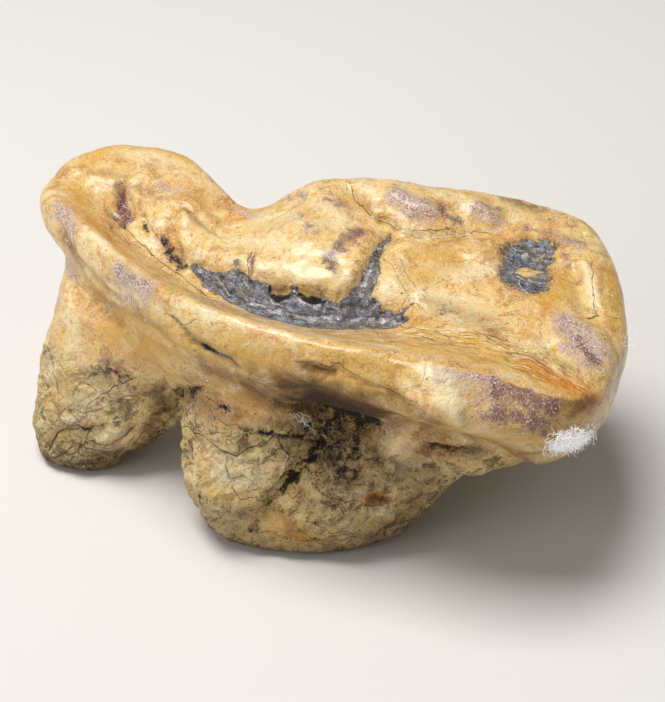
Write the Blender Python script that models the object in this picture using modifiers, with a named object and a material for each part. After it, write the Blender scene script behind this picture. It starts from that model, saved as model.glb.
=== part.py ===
"""Fossil cave bear molar: a worn upper second molar standing on its roots.

Blender 4.5, metres, +Z up. The tooth's length runs along X with the narrow talon at -X,
its tongue side faces -Y and its cheek side +Y. The origin is at the middle of the
bounding box's base, on the surface that the root ends stand on. The tooth grew as one
piece, so it is one object.
"""

import math
from typing import NamedTuple

import bmesh
import bpy
import numpy as np

MM = 0.001
IVORY = (0.62, 0.42, 0.17, 1)

# Driving dimensions, in millimetres.
LENGTH = 47.8
WIDTH = 28.0
HEIGHT = 21.4

ROOT_SQUARENESS = 0.8
VOXEL = 0.4
BLEND_PASSES = 8
ROOT_BLEND_PASSES = 30
ROOT_BLEND_FULL = 13.5
ROOT_BLEND_NONE = 16.5
MOST_TRIANGLES = 9200

# Points of each loft: rings along it and points round a ring.
CROWN_ALONG = 70
CROWN_AROUND = 72
ROOT_ALONG = 30
ROOT_AROUND = 40
RING_POINTS = 24


class Section(NamedTuple):
    """The crown cut across at x: heights and places in millimetres."""

    x: float
    far_y: float
    far_z: float
    plateau_z: float
    valley_y: float
    valley_z: float
    near_y: float
    near_z: float
    near_bulge: float
    far_bulge: float
    near_neck_z: float
    far_neck_z: float


CROWN = (
    Section(-25.4, 3.4, 18.9, 18.9, 2.7, 18.8, 1.8, 18.8, 0.1, 0.1, 17.2, 17.2),
    Section(-24.6, 5.1, 20.1, 19.9, 2.8, 19.6, 0.5, 19.8, 0.6, 0.3, 16.2, 16.6),
    Section(-22.4, 6.9, 20.8, 20.3, 2.4, 19.6, -1.4, 20.6, 1.1, 0.6, 15.6, 16.2),
    Section(-19.4, 8.1, 20.9, 20.1, 1.2, 19.0, -3.5, 21.0, 1.1, 0.9, 14.6, 15.8),
    Section(-15.8, 8.2, 20.6, 19.7, -1.1, 18.4, -6.0, 21.1, 1.0, 1.0, 13.2, 15.2),
    Section(-12.2, 6.5, 19.8, 19.1, -3.0, 17.9, -8.2, 21.1, 0.9, 1.0, 12.0, 14.8),
    Section(-8.6, 5.5, 18.7, 18.6, -4.2, 17.6, -9.9, 21.1, 0.9, 0.9, 11.6, 14.4),
    Section(-4.8, 8.4, 20.6, 19.6, -4.8, 17.4, -10.9, 21.0, 0.9, 1.0, 11.8, 14.6),
    Section(-0.4, 9.8, 21.0, 19.8, -4.8, 17.4, -11.4, 20.9, 1.0, 1.1, 12.4, 14.8),
    Section(4.5, 10.8, 20.6, 19.7, -4.2, 17.6, -11.1, 20.6, 1.2, 1.2, 12.8, 14.4),
    Section(8.5, 12.3, 20.1, 19.4, -3.6, 17.9, -10.3, 20.3, 1.5, 1.2, 12.8, 14.0),
    Section(12.4, 13.3, 19.3, 19.1, -4.0, 18.0, -9.4, 19.9, 2.3, 1.2, 13.4, 13.4),
    Section(16.0, 12.9, 18.9, 18.8, -5.0, 18.0, -9.0, 19.2, 2.2, 1.0, 12.2, 12.8),
    Section(18.8, 10.0, 18.2, 18.4, -5.4, 17.7, -8.6, 18.4, 1.6, 0.9, 12.0, 12.6),
    Section(21.0, 5.6, 17.7, 17.9, -4.6, 17.2, -7.2, 17.4, 0.9, 0.6, 12.8, 13.0),
    Section(22.4, 1.8, 16.8, 17.0, -2.2, 16.6, -4.4, 16.4, 0.3, 0.2, 14.2, 14.2),
)


class Ring(NamedTuple):
    """A level cut through a root: height, centre, half sizes, turn in degrees."""

    z: float
    x: float
    y: float
    half_x: float
    half_y: float
    turn: float


TRUNK = (
    Ring(15.4, 6.4, 1.6, 10.4, 9.0, 0),
    Ring(13.0, 6.4, 1.2, 12.4, 10.0, 2),
    Ring(10.0, 6.4, 0.2, 12.2, 9.0, 4),
    Ring(8.0, 6.2, -0.8, 11.2, 7.6, 4),
    Ring(6.6, 6.0, -1.2, 8.6, 5.4, 4),
)
DISTAL_ROOT = (
    Ring(16.6, -15.4, 0.4, 5.6, 5.2, 0),
    Ring(14.8, -14.6, -0.2, 7.1, 6.8, -4),
    Ring(12.5, -14.8, -1.2, 7.2, 6.4, -4),
    Ring(9.5, -15.8, -2.4, 7.1, 5.6, 0),
    Ring(6.4, -16.4, -3.5, 7.0, 4.9, 4),
    Ring(3.6, -17.6, -4.7, 5.8, 4.1, 8),
    Ring(1.8, -18.7, -5.5, 4.7, 3.9, 10),
    Ring(0.3, -19.4, -5.9, 3.7, 3.3, 10),
    Ring(-0.8, -19.5, -6.0, 2.6, 2.2, 10),
)
LINGUAL_ROOT = (
    Ring(15.6, 1.8, -3.4, 9.0, 4.0, 4),
    Ring(13.6, 1.6, -3.4, 10.8, 4.8, 6),
    Ring(11.0, 1.6, -4.2, 11.2, 5.2, 8),
    Ring(8.0, 1.6, -5.6, 11.2, 5.4, 12),
    Ring(5.4, 1.4, -6.9, 10.5, 5.1, 15),
    Ring(3.2, 1.1, -7.6, 9.5, 4.7, 18),
    Ring(1.4, 0.9, -8.0, 8.1, 4.2, 20),
    Ring(0.2, 0.8, -8.1, 6.7, 3.5, 20),
    Ring(-0.8, 0.8, -8.1, 5.0, 2.4, 20),
)
CHEEK_ROOT = (
    Ring(14.8, 7.6, 5.0, 9.4, 6.2, 0),
    Ring(11.0, 7.6, 5.6, 8.8, 5.4, 0),
    Ring(8.0, 7.4, 6.0, 7.2, 4.4, 0),
    Ring(5.0, 6.8, 6.3, 5.4, 3.5, 0),
    Ring(2.4, 6.2, 6.8, 4.4, 3.0, 0),
    Ring(0.6, 6.0, 7.2, 3.8, 2.6, 0),
    Ring(-0.8, 6.0, 7.4, 2.8, 1.8, 0),
)


def spline(points, count, closed=False):
    """A Catmull-Rom curve through the points, read at count places."""
    points = np.asarray(points, float)
    last = len(points) if closed else len(points) - 1
    at = np.linspace(0, last, count, endpoint=not closed)
    index = np.minimum(at.astype(int), last - 1)
    t = (at - index).reshape((-1,) + (1,) * (points.ndim - 1))
    if closed:
        a, b, c, d = (points[(index + k) % last] for k in (-1, 0, 1, 2))
    else:
        a, b, c, d = (points[np.clip(index + k, 0, last)] for k in (-1, 0, 1, 2))
    return 0.5 * (
        2 * b + (c - a) * t + (2 * a - 5 * b + 4 * c - d) * t**2 + (3 * b - a - 3 * c + d) * t**3
    )


def crown_section(s):
    """The closed outline of one section, as (x, y, z) points from the valley round."""
    near_wall = s.near_z - s.near_neck_z
    far_wall = s.far_z - s.far_neck_z
    across = s.valley_y - s.near_y
    back = s.far_y - s.valley_y
    yz = (
        (s.valley_y, s.valley_z),
        (s.near_y + 0.55 * across, 0.7 * s.valley_z + 0.3 * s.near_z),
        (s.near_y + 0.2 * across, 0.25 * s.valley_z + 0.75 * s.near_z),
        (s.near_y, s.near_z),
        (s.near_y - 0.8 * s.near_bulge, s.near_z - 0.2 * near_wall),
        (s.near_y - s.near_bulge, s.near_z - 0.45 * near_wall),
        (s.near_y - 0.3 * s.near_bulge, s.near_z - 0.75 * near_wall),
        (s.near_y + 0.16 * across + 0.4, s.near_neck_z),
        (s.near_y + 0.6 * across, s.near_neck_z - 1.6),
        (0.5 * (s.near_y + s.far_y), 0.5 * (s.near_neck_z + s.far_neck_z) - 2.0),
        (s.far_y - 0.3 * back, s.far_neck_z - 1.4),
        (s.far_y - 0.08 * back, s.far_neck_z),
        (s.far_y + 0.4 * s.far_bulge, s.far_z - 0.7 * far_wall),
        (s.far_y + s.far_bulge, s.far_z - 0.42 * far_wall),
        (s.far_y + 0.8 * s.far_bulge, s.far_z - 0.18 * far_wall),
        (s.far_y, s.far_z),
        (s.far_y - 0.3 * back, 0.35 * s.plateau_z + 0.65 * s.far_z),
        (s.far_y - 0.65 * back, s.plateau_z),
    )
    return [(s.x, y, z) for y, z in yz]


def squared(share):
    """Bends a circle's sine or cosine towards a rounded square."""
    return math.copysign(abs(share) ** ROOT_SQUARENESS, share)


def root_ring(r):
    turn = math.radians(r.turn)
    made = []
    for i in range(RING_POINTS):
        angle = 2 * math.pi * i / RING_POINTS
        a = r.half_x * squared(math.cos(angle))
        b = r.half_y * squared(math.sin(angle))
        x = r.x + a * math.cos(turn) - b * math.sin(turn)
        y = r.y + a * math.sin(turn) + b * math.cos(turn)
        made.append((x, y, r.z))
    return made


def add_loft(bm, rings, along, around):
    """Adds a closed skin through unlike rings, with a fan of faces over each end."""
    grid = spline(rings, along)
    grid = np.stack([spline(ring, around, closed=True) for ring in grid]) * MM
    verts = [[bm.verts.new(p) for p in ring] for ring in grid]
    faces = []
    for one, two in zip(verts, verts[1:]):
        for i in range(around):
            k = (i + 1) % around
            faces.append(bm.faces.new((one[i], one[k], two[k], two[i])))
    for ring, end in ((verts[0], grid[0]), (verts[-1], grid[-1])):
        middle = bm.verts.new(end.mean(axis=0))
        for i in range(around):
            faces.append(bm.faces.new((ring[i], ring[(i + 1) % around], middle)))
    bmesh.ops.recalc_face_normals(bm, faces=faces)


def weight_below(obj, name, low, high):
    """A vertex group that fades from 1 at height low to 0 at height high."""
    group = obj.vertex_groups.new(name=name)
    for vertex in obj.data.vertices:
        share = (high - vertex.co.z / MM) / (high - low)
        group.add([vertex.index], min(1.0, max(0.0, share)), "REPLACE")


def apply(obj, kind, **settings):
    """Adds one modifier and applies it to the mesh."""
    modifier = obj.modifiers.new(kind.title(), kind)
    for key, value in settings.items():
        setattr(modifier, key, value)
    graph = bpy.context.evaluated_depsgraph_get()
    mesh = bpy.data.meshes.new_from_object(obj.evaluated_get(graph))
    obj.modifiers.clear()
    obj.data = mesh


class Stroke(NamedTuple):
    """A ridge (rise above 0) or groove (below 0) along a path of (u, v) points.

    On the top u, v are x, y; on the near side they are x, z.
    """

    side: str
    width: float
    rise: float
    path: tuple


STROKES = (
    # The trench along the foot of the near slope, and the branch that climbs from it.
    Stroke("top", 1.3, -1.2, ((-9.0, -3.0), (-6.0, -3.9), (-3.0, -4.2), (0.0, -4.0), (6.4, -2.6))),
    Stroke("top", 0.8, -0.6, ((2.8, -3.0), (2.8, 0.8), (3.2, 4.0))),
    # The valley of the talon, its two pits and the dip where the talon meets the cusps.
    Stroke("top", 1.1, -0.5, ((-19.6, 1.8), (-16.7, -0.8), (-12.5, -2.8), (-9.0, -4.0))),
    Stroke("top", 0.8, -0.6, ((-18.4, 2.4), (-16.6, 1.0))),
    Stroke("top", 0.8, -0.5, ((-13.6, -0.6), (-11.8, -1.8))),
    Stroke("top", 1.2, -0.5, ((-12.0, 5.0), (-9.6, 2.6))),
    # The worn cusps along the far edge, and the groove at their foot.
    Stroke("top", 1.0, -0.7, ((-1.2, 7.6), (0.6, 5.8), (3.0, 5.0), (5.4, 5.2), (8.0, 6.6), (9.9, 8.4))),
    Stroke("top", 1.8, 0.5, ((1.4, 8.4), (4.4, 8.2), (7.4, 10.0))),
    Stroke("top", 2.4, 0.4, ((-2.6, 2.0), (-1.0, 0.6))),
    Stroke("top", 2.6, -0.4, ((7.5, 1.6), (10.0, 2.4))),
    # The basin and the lip at the mesial end.
    Stroke("top", 1.6, -0.7, ((12.4, 6.2), (14.0, 6.6))),
    Stroke("top", 0.7, -0.6, ((16.8, 6.8), (18.1, 4.2), (19.4, 1.6))),
    Stroke("top", 1.0, 0.4, ((17.8, 8.4), (19.2, 5.6), (20.4, 3.0))),
    Stroke("top", 2.0, 0.5, ((18.4, -0.6), (20.0, -2.4))),
    # The swelling of the wall, the enamel's edge, and the hollow under it.
    Stroke("near", 2.2, 0.8, ((11.4, 17.6), (13.0, 16.8))),
    Stroke("near", 0.9, -0.6, ((3.6, 16.6), (7.6, 15.4), (11.4, 12.8), (15.6, 11.4))),
    Stroke("near", 1.8, -0.9, ((-4.0, 14.6), (2.0, 14.2), (6.0, 12.6))),
    Stroke("near", 0.9, -0.5, ((-19.4, 15.4), (-15.6, 14.9), (-11.0, 15.0), (-7.0, 15.4))),
    # The furrow and the lobes of the tongue-side root, and the swellings of the other root.
    Stroke("near", 1.1, -1.0, ((2.2, 12.6), (1.6, 9.0), (0.8, 6.4), (-1.0, 3.4))),
    Stroke("near", 1.8, 0.7, ((-5.0, 9.0), (-4.2, 5.0))),
    Stroke("near", 1.6, 0.5, ((5.8, 9.0), (5.0, 4.0))),
    Stroke("near", 1.4, 0.5, ((-14.8, 3.6),)),
    Stroke("near", 1.4, 0.4, ((-19.0, 7.0), (-18.0, 9.6))),
)
SIDES = {"top": (0, 0, 1), "near": (0, -1, 0)}


def distance_to(path, points):
    """How far each 2D point is from the nearest stretch of the path."""
    path = np.asarray(path, float)
    if len(path) == 1:
        return np.linalg.norm(points - path[0], axis=1)
    nearest = np.full(len(points), np.inf)
    for a, b in zip(path, path[1:]):
        along = np.clip((points - a) @ (b - a) / ((b - a) @ (b - a)), 0, 1)
        off = points - a - along[:, None] * (b - a)
        nearest = np.minimum(nearest, np.linalg.norm(off, axis=1))
    return nearest


def coordinates(mesh, kind="vertices", field="co"):
    found = np.empty(3 * len(getattr(mesh, kind)), np.float32)
    getattr(mesh, kind).foreach_get(field, found)
    return found.reshape(-1, 3).astype(float)


def carve(mesh, strokes):
    for stroke in strokes:
        points = coordinates(mesh) / MM
        facing = coordinates(mesh, "vertex_normals", "vector") @ np.array(SIDES[stroke.side], float)
        flat = points[:, :2] if stroke.side == "top" else points[:, (0, 2)]
        fall = np.exp(-((distance_to(stroke.path, flat) / stroke.width) ** 2))
        moved = stroke.rise * fall * np.clip(2 * facing, 0, 1)
        points += moved[:, None] * np.array(SIDES[stroke.side], float)
        mesh.vertices.foreach_set("co", (points * MM).ravel())
        mesh.update()


def stand_on_roots(mesh):
    """Cuts the root ends flat at z = 0 and closes them."""
    bm = bmesh.new()
    bm.from_mesh(mesh)
    bmesh.ops.bisect_plane(
        bm,
        geom=bm.verts[:] + bm.edges[:] + bm.faces[:],
        plane_co=(0, 0, 0),
        plane_no=(0, 0, 1),
        clear_inner=True,
    )
    bmesh.ops.holes_fill(bm, edges=[edge for edge in bm.edges if edge.is_boundary])
    bm.to_mesh(mesh)
    bm.free()


def fit(mesh, sides):
    """Centres the mesh over the origin, on z = 0, and gives its box exactly these sides."""
    points = coordinates(mesh)
    low, high = points.min(axis=0), points.max(axis=0)
    middle = (low + high) / 2
    middle[2] = low[2]
    points = (points - middle) * (np.array(sides) * MM / (high - low))
    mesh.vertices.foreach_set("co", points.ravel())
    mesh.update()


def ivory_material():
    material = bpy.data.materials.new("fossil ivory")
    material.use_nodes = True
    bsdf = material.node_tree.nodes["Principled BSDF"]
    bsdf.inputs["Base Color"].default_value = IVORY
    bsdf.inputs["Roughness"].default_value = 0.35
    bsdf.inputs["Metallic"].default_value = 0
    return material


def molar_object():
    """The crown, the trunk under it and the roots, lofted and made one skin."""
    bm = bmesh.new()
    add_loft(bm, [crown_section(s) for s in CROWN], CROWN_ALONG, CROWN_AROUND)
    for rings in (TRUNK, DISTAL_ROOT, LINGUAL_ROOT, CHEEK_ROOT):
        add_loft(bm, [root_ring(r) for r in rings], ROOT_ALONG, ROOT_AROUND)
    mesh = bpy.data.meshes.new("molar")
    bm.to_mesh(mesh)
    bm.free()
    molar = bpy.data.objects.new("molar", mesh)
    tooth = bpy.data.collections.new("fossil cave bear molar")
    bpy.context.scene.collection.children.link(tooth)
    tooth.objects.link(molar)
    apply(molar, "REMESH", mode="VOXEL", voxel_size=VOXEL * MM)
    apply(molar, "SMOOTH", factor=0.5, iterations=BLEND_PASSES)
    weight_below(molar, "roots", ROOT_BLEND_FULL, ROOT_BLEND_NONE)
    apply(molar, "SMOOTH", factor=0.5, iterations=ROOT_BLEND_PASSES, vertex_group="roots")
    molar.vertex_groups.clear()
    return molar


def main():
    for obj in list(bpy.data.objects):
        bpy.data.objects.remove(obj)
    molar = molar_object()
    carve(molar.data, STROKES)
    stand_on_roots(molar.data)
    triangles = 2 * len(molar.data.polygons)
    apply(molar, "DECIMATE", ratio=min(1.0, MOST_TRIANGLES / triangles))
    fit(molar.data, (LENGTH, WIDTH, HEIGHT))
    molar.data.materials.append(ivory_material())
    molar.data.shade_smooth()


main()
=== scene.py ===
"""Fossil cave bear molar: a worn upper tooth on its roots, with a tuft of lint on one corner.

Everything is in metres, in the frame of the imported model: the feet of the roots stand on z = 0,
+X is the broad front end of the crown and -Y is the tongue side.
The tables of marks are in millimetres, because the whole tooth is under fifty of them long.
"""

import math

import bpy
import numpy as np
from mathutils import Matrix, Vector, noise


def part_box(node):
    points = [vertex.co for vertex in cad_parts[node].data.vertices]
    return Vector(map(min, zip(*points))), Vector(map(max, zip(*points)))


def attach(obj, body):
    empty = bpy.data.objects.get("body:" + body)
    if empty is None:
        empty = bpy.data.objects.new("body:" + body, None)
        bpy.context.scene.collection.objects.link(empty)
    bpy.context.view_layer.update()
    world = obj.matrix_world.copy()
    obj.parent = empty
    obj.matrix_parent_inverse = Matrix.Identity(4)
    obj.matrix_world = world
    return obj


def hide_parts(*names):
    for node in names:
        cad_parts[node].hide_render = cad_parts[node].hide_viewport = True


bl_info = {
    "name": "Fossil cave bear molar",
    "version": (1, 0, 0),
    "blender": (4, 5, 0),
    "location": "View3D > Sidebar > Fossil molar",
    "description": "Builds a worn fossil molar, its lint and a studio stage",
    "category": "Add Mesh",
}

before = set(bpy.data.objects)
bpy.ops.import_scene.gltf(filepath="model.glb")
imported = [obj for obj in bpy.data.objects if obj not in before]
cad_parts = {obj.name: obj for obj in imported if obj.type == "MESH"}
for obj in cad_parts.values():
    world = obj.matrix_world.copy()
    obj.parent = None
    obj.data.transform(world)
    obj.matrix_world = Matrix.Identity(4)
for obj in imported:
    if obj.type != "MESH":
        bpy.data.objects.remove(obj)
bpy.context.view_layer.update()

MM = 0.001
NODE = "molar"
BODY = "root"
PIECE = "fossil_molar"
LINT = "lint_tuft"

NOISE_SEED = 3
LINT_SEED = 11

# --- named shapes -------------------------------------------------------------------------------
# Points are (a, b) or (a, b, radius) in mm: a, b is x, y on the top and x, z on the near side.

# the plateau breaks off along the rim, and the filling lies below it as far as the shore
RIM = (
    (-9.2, -2.2), (-7.3, -2.3), (-6, -2.3), (-4.6, -2.6), (-3.4, -2.8), (-1.6, -3), (-0.9, -2.9),
    (0.1, -3.1), (0.8, -2.8), (1.9, -2.8), (2.8, -2.7), (3.6, -2.2), (3.9, -1.3), (4, -0.2),
    (4.1, 0.9), (3.9, 1.9), (4, 2.8), (4.2, 3.7), (4.2, 4.7),
)
SHORE = (
    (4.6, 3.7), (4.4, 2.4), (4.6, 1.2), (5, -0.1), (5.2, -1), (5, -1.9), (6.2, -2.3), (7.4, -2.3),
    (8.4, -2.5), (7.1, -3.4), (5.7, -4.2), (4.1, -5.5), (2, -6.2), (0.3, -6.2), (-1.8, -5.6),
    (-3.5, -5), (-4.9, -4.4), (-6.3, -3.8), (-7.8, -3.2), (-9.2, -2.6),
)
FILLING = RIM + SHORE
PATCH = (
    (12.6, 6.3), (13, 7.4), (13.8, 8.3), (15.3, 8.7), (16.2, 8.1), (16.5, 6.7), (16.4, 5.4),
    (16.8, 4.2), (17.1, 2.3), (15.9, 1.9), (14.6, 2.2), (13.4, 3.2), (13.3, 5),
)
ISLAND = ((14.3, 5.4), (15.2, 5.9), (16.1, 5.3), (16, 4.2), (15.2, 3.8), (14.4, 4.2))
TALON_PIT = ((-17.5, 2.8, 0.28), (-16.9, 1.8, 0.5), (-15.9, 0.9, 0.38))
TALON_PIT_LOW = ((-17.7, 1.3, 0.14), (-16.9, 0.7, 0.26), (-16.1, 0.1, 0.26), (-15.4, -0.3, 0.12))
TALON_SLIT = ((-14.7, 0.9, 0.1), (-14.1, 0.1, 0.24), (-13.7, -0.5, 0.12))
TALON_STAIN = ((-12.5, -0.7, 0.14), (-11.5, -1.4, 0.4), (-10.6, -2, 0.5), (-9.8, -2.6, 0.3))
TALON_CREASE = (
    (-20.2, 20, 0.1), (-19.1, 19.4, 0.18), (-18.3, 18.7, 0.24), (-17.1, 18.2, 0.28),
    (-15.6, 17.9, 0.24), (-13.8, 17.7, 0.16), (-12.1, 17.7, 0.05),
)
WALL_SLIT = (
    (-4.9, 18.1, 0.1), (-3.8, 17.9, 0.24), (-2.8, 17.7, 0.26), (-1.8, 17.6, 0.18),
    (-0.9, 17.3, 0.06),
)
RED_PIT = ((3.9, 18.8, 0.24), (4.8, 18.7, 0.36), (5.9, 18.8, 0.22))
FURROW = (
    (4.8, 11.2, 0.7), (4, 9.6, 0.6), (3.2, 8, 0.6), (2.2, 6.5, 0.5), (1.4, 5.4, 0.35),
    (0.8, 4.4, 0.12),
)
ROOT_PIT = ((-5.9, 7.4, 0.16), (-5.5, 6.7, 0.28))
MAIN_CRACK = (
    (-18.8, 2.6, 0.08), (-18.4, 3.6, 0.12), (-17.5, 4.3, 0.12), (-16.5, 4.8, 0.1), (-16, 4.4, 0.12),
    (-15.2, 4.9, 0.1), (-14.2, 5.5, 0.05),
)
LIP = ((18.9, 6.9, 0.3), (19.6, 5.6, 0.4), (20.3, 4, 0.4), (20.9, 3, 0.3))
# the outer wall begins this far out, along the crest of the near slope
CREST = (
    (-24, -0.4), (-20, -2.6), (-16, -5), (-12, -7.6), (-6.5, -10), (0, -10.7), (8, -10.4),
    (12.4, -9.4), (18, -7.4), (24, -5.4),
)
# the wear lines run along this line
FLOW_LINE = (
    (-25, 6.4), (-19, 1.4), (-15.5, -1.8), (-12, -4.6), (-8.6, -6.4), (-4.8, -7.6), (0, -8),
    (5, -7.2), (10, -6), (15, -5.6), (19, -6), (22.8, -6.8),
)

# --- marks on the tooth -------------------------------------------------------------------------
# Rows of soft brush strokes: (softness, strength, points with their radius).

MARKS = {}
# black mineral filling
MARKS["dark", "top"] = (
    (0.12, 0.9, (7.4, -2.6, 0.16), (7.9, -1.8, 0.1), (8.3, -1.6, 0.06)),
    (0.3, 0.62, *TALON_PIT_LOW),
    (0.24, 0.7, (-5.8, -1.9, 0.16), (-5.5, -2.2, 0.2)),
    (0.22, 0.55, (-4.4, -1.6, 0.14), (-4.2, -2.1, 0.12)),
    (0.24, 0.6, (11.9, 6.5, 0.04), (13, 6.4, 0.24)),
)
MARKS["dark", "near"] = (
    (0.14, 0.85, (-7.2, 19.3, 0.04), (-6.2, 19.1, 0.12), (-5.5, 18.7, 0.05)),
    (0.22, 0.9, *WALL_SLIT),
    (0.2, 0.85, *ROOT_PIT),
)
# holes and the deepest shadow
MARKS["black", "top"] = (
    (0.14, 1, (-2.6, -3, 0.14), (-1.7, -3.2, 0.3), (-1, -3.1, 0.14)),
    (0.12, 1, (-0.4, -3.1, 0.1), (0.7, -3, 0.24), (1.9, -3, 0.1)),
    (0.22, 0.7, (-16.9, 1, 0.1), (-15.9, 0.2, 0.22), (-15.5, -0.1, 0.1)),
    (0.18, 0.85, *TALON_SLIT),
    (0.16, 0.6, (-17.4, 2.2, 0.12), (-17.1, 2, 0.1)),
)
MARKS["black", "near"] = (
    (0.22, 0.9, (-4.6, 18, 0.08), (-3.8, 17.8, 0.22), (-2.9, 17.7, 0.16)),
    (1.1, 0.62, (3.6, 11.4, 0.3), (4.8, 11, 0.6), (6.2, 10.9, 0.5), (7, 11.2, 0.2)),
    (1.1, 0.72, (2.8, 9.6, 0.4), (4.2, 9.2, 0.7), (5.4, 9, 0.7), (6.4, 9.4, 0.3)),
    (0.35, 0.8, (-2, 10.2, 0.08), (-0.6, 10.1, 0.24), (0.9, 10, 0.28), (2.5, 9.7, 0.2)),
    (0.4, 0.7, (3.8, 8.6, 0.2), (3, 7.4, 0.3), (2, 6.3, 0.3), (1.2, 5.2, 0.1)),
    (0.3, 0.75, (-7.4, 10.4, 0.1), (-6.4, 11.2, 0.26), (-5.4, 11.5, 0.2)),
    (0.25, 0.6, (-3.6, 11.2, 0.1), (-2.7, 11.3, 0.18), (-1.8, 11.2, 0.06)),
    (0.4, 0.85, (11.8, 11.2, 0.2), (12.8, 10.8, 0.34), (13.9, 10.6, 0.12)),
)
# black speckle on the roots, in the hollow and beside the filling
MARKS["speckle", "top"] = (
    (1.8, 0.44, (8.4, -1.2, 0.9), (11.6, -1.8, 1.2), (14.4, -2.2, 0.8)),
    (0.8, 0.6, (16.2, 0.4, 0.2), (16.8, -1, 0.3), (18.4, -2, 0.2)),
    (0.5, 0.6, (-14.6, -0.9, 0.2), (-12.4, -2, 0.3), (-9.6, -3, 0.4)),
    (0.5, 0.7, (0.6, -0.8, 0.3), (1.6, -1.4, 0.3)),
    (0.6, 0.8, *TALON_STAIN),
)
MARKS["speckle", "near"] = (
    (1.6, 1, (3.2, 13.4, 0.8), (5.2, 12.4, 1.4), (7.4, 12.2, 1)),
    (1.9, 0.74, (3, 10.6, 0.8), (5, 9.8, 1.4), (6.8, 9.8, 0.9)),
    (1.5, 0.66, (0.6, 8.4, 0.5), (2.6, 7.6, 1), (4.6, 7.4, 0.8)),
    (1.1, 1, *FURROW),
    (1.5, 0.75, (4.3, 9.4, 0.6), (5.9, 9.2, 0.9), (7.4, 8.5, 0.6)),
    (1.3, 0.55, (5, 7.2, 0.6), (6.4, 6.2, 0.8), (5, 5, 0.6)),
    (0.5, 0.95, (-1.7, 9.7, 0.1), (-0.2, 10.1, 0.22), (1.6, 10.1, 0.26), (2.8, 9.8, 0.2)),
    (0.7, 0.85, (-8.8, 8.3, 0.2), (-7.2, 10.2, 0.4), (-5.6, 12, 0.5), (-4.4, 13, 0.2)),
    (0.5, 0.8, (-5, 11.3, 0.2), (-3.6, 11.2, 0.3), (-2.2, 11, 0.1)),
    (0.8, 0.6, (-6.2, 18.9, 0.2), (-5.2, 18.4, 0.3)),
    (0.9, 0.6, (-7, 9.6, 0.4), (-5.4, 9.6, 0.5), (-3.6, 10, 0.5)),
    (0.8, 0.7, (-5.4, 4.8, 0.3), (-3.6, 4.9, 0.5), (-2, 4.6, 0.3)),
    (1, 0.6, (-14.8, 11.2, 0.3), (-13.2, 10.7, 0.6), (-11.8, 10.1, 0.4)),
    (1.1, 0.6, (-19.6, 0.8, 0.3), (-17, 1.2, 0.6), (-14.4, 2.2, 0.6), (-11.8, 3.6, 0.3)),
    (0.9, 0.6, (-10, 8.2, 0.4), (-10.2, 6.6, 0.5), (-11.4, 4.9, 0.4)),
    (0.6, 0.9, (11.6, 11.3, 0.2), (12.7, 10.9, 0.4), (14.2, 10.7, 0.2)),
    (0.5, 0.85, (15.8, 12.2, 0.2), (17.2, 11.9, 0.3)),
    (0.8, 0.6, (1.4, 2.4, 0.4), (4, 2.2, 0.5), (6.4, 3, 0.4)),
    (0.8, 0.6, (-3, 2.8, 0.3), (-0.9, 2.8, 0.4), (0.4, 2.2, 0.3)),
    (1.4, 0.45, (9.8, 9.4, 0.6), (11.2, 8.6, 0.8), (11, 6.8, 0.5)),
)
# brown stain, and painted shade in the hollow under the crest, on the lower wall and along the
# grooves
MARKS["brown", "top"] = (
    (0.45, 0.62, (-11.8, 2.3, 0.15), (-10.6, 1.7, 0.28), (-9.2, 1.2, 0.3), (-7.6, 0.9, 0.15)),
    (0.6, 0.5, (-17.6, 2.9, 0.3), (-16.2, 3.2, 0.35), (-14, 2.4, 0.2)),
    (0.5, 0.55, (-20.2, 3.4, 0.3), (-18.8, 3.8, 0.4), (-17.2, 3.6, 0.2)),
    (0.4, 0.7, (0.2, 7.4, 0.1), (2, 5.9, 0.16), (4.6, 5.1, 0.22), (6.6, 5.2, 0.1)),
    (0.5, 0.6, (17.4, -2.6, 0.2), (19.2, -3.9, 0.4), (20.8, -4.7, 0.3)),
    (0.6, 0.55, (-13.4, -7.2, 0.2), (-11.6, -8.2, 0.4), (-10, -9.2, 0.3)),
    (0.8, 0.5, (-10.4, -1.2, 0.3), (-8.6, -1.9, 0.4)),
    (0.7, 0.7, (11.2, 12, 0.5), (12.6, 12, 0.6), (14, 11.8, 0.5)),
    (0.3, 0.7, (20.2, 7, 0.12), (20.6, 5.6, 0.2), (20.9, 4.4, 0.14)),
    (0.6, 0.6, (14, -2.6, 0.2), (16.4, -4, 0.3), (18.6, -4.9, 0.4)),
    (0.5, 0.45, (7.4, 5.4, 0.3), (9.4, 6.4, 0.4), (11.6, 7, 0.3)),
)
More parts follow.
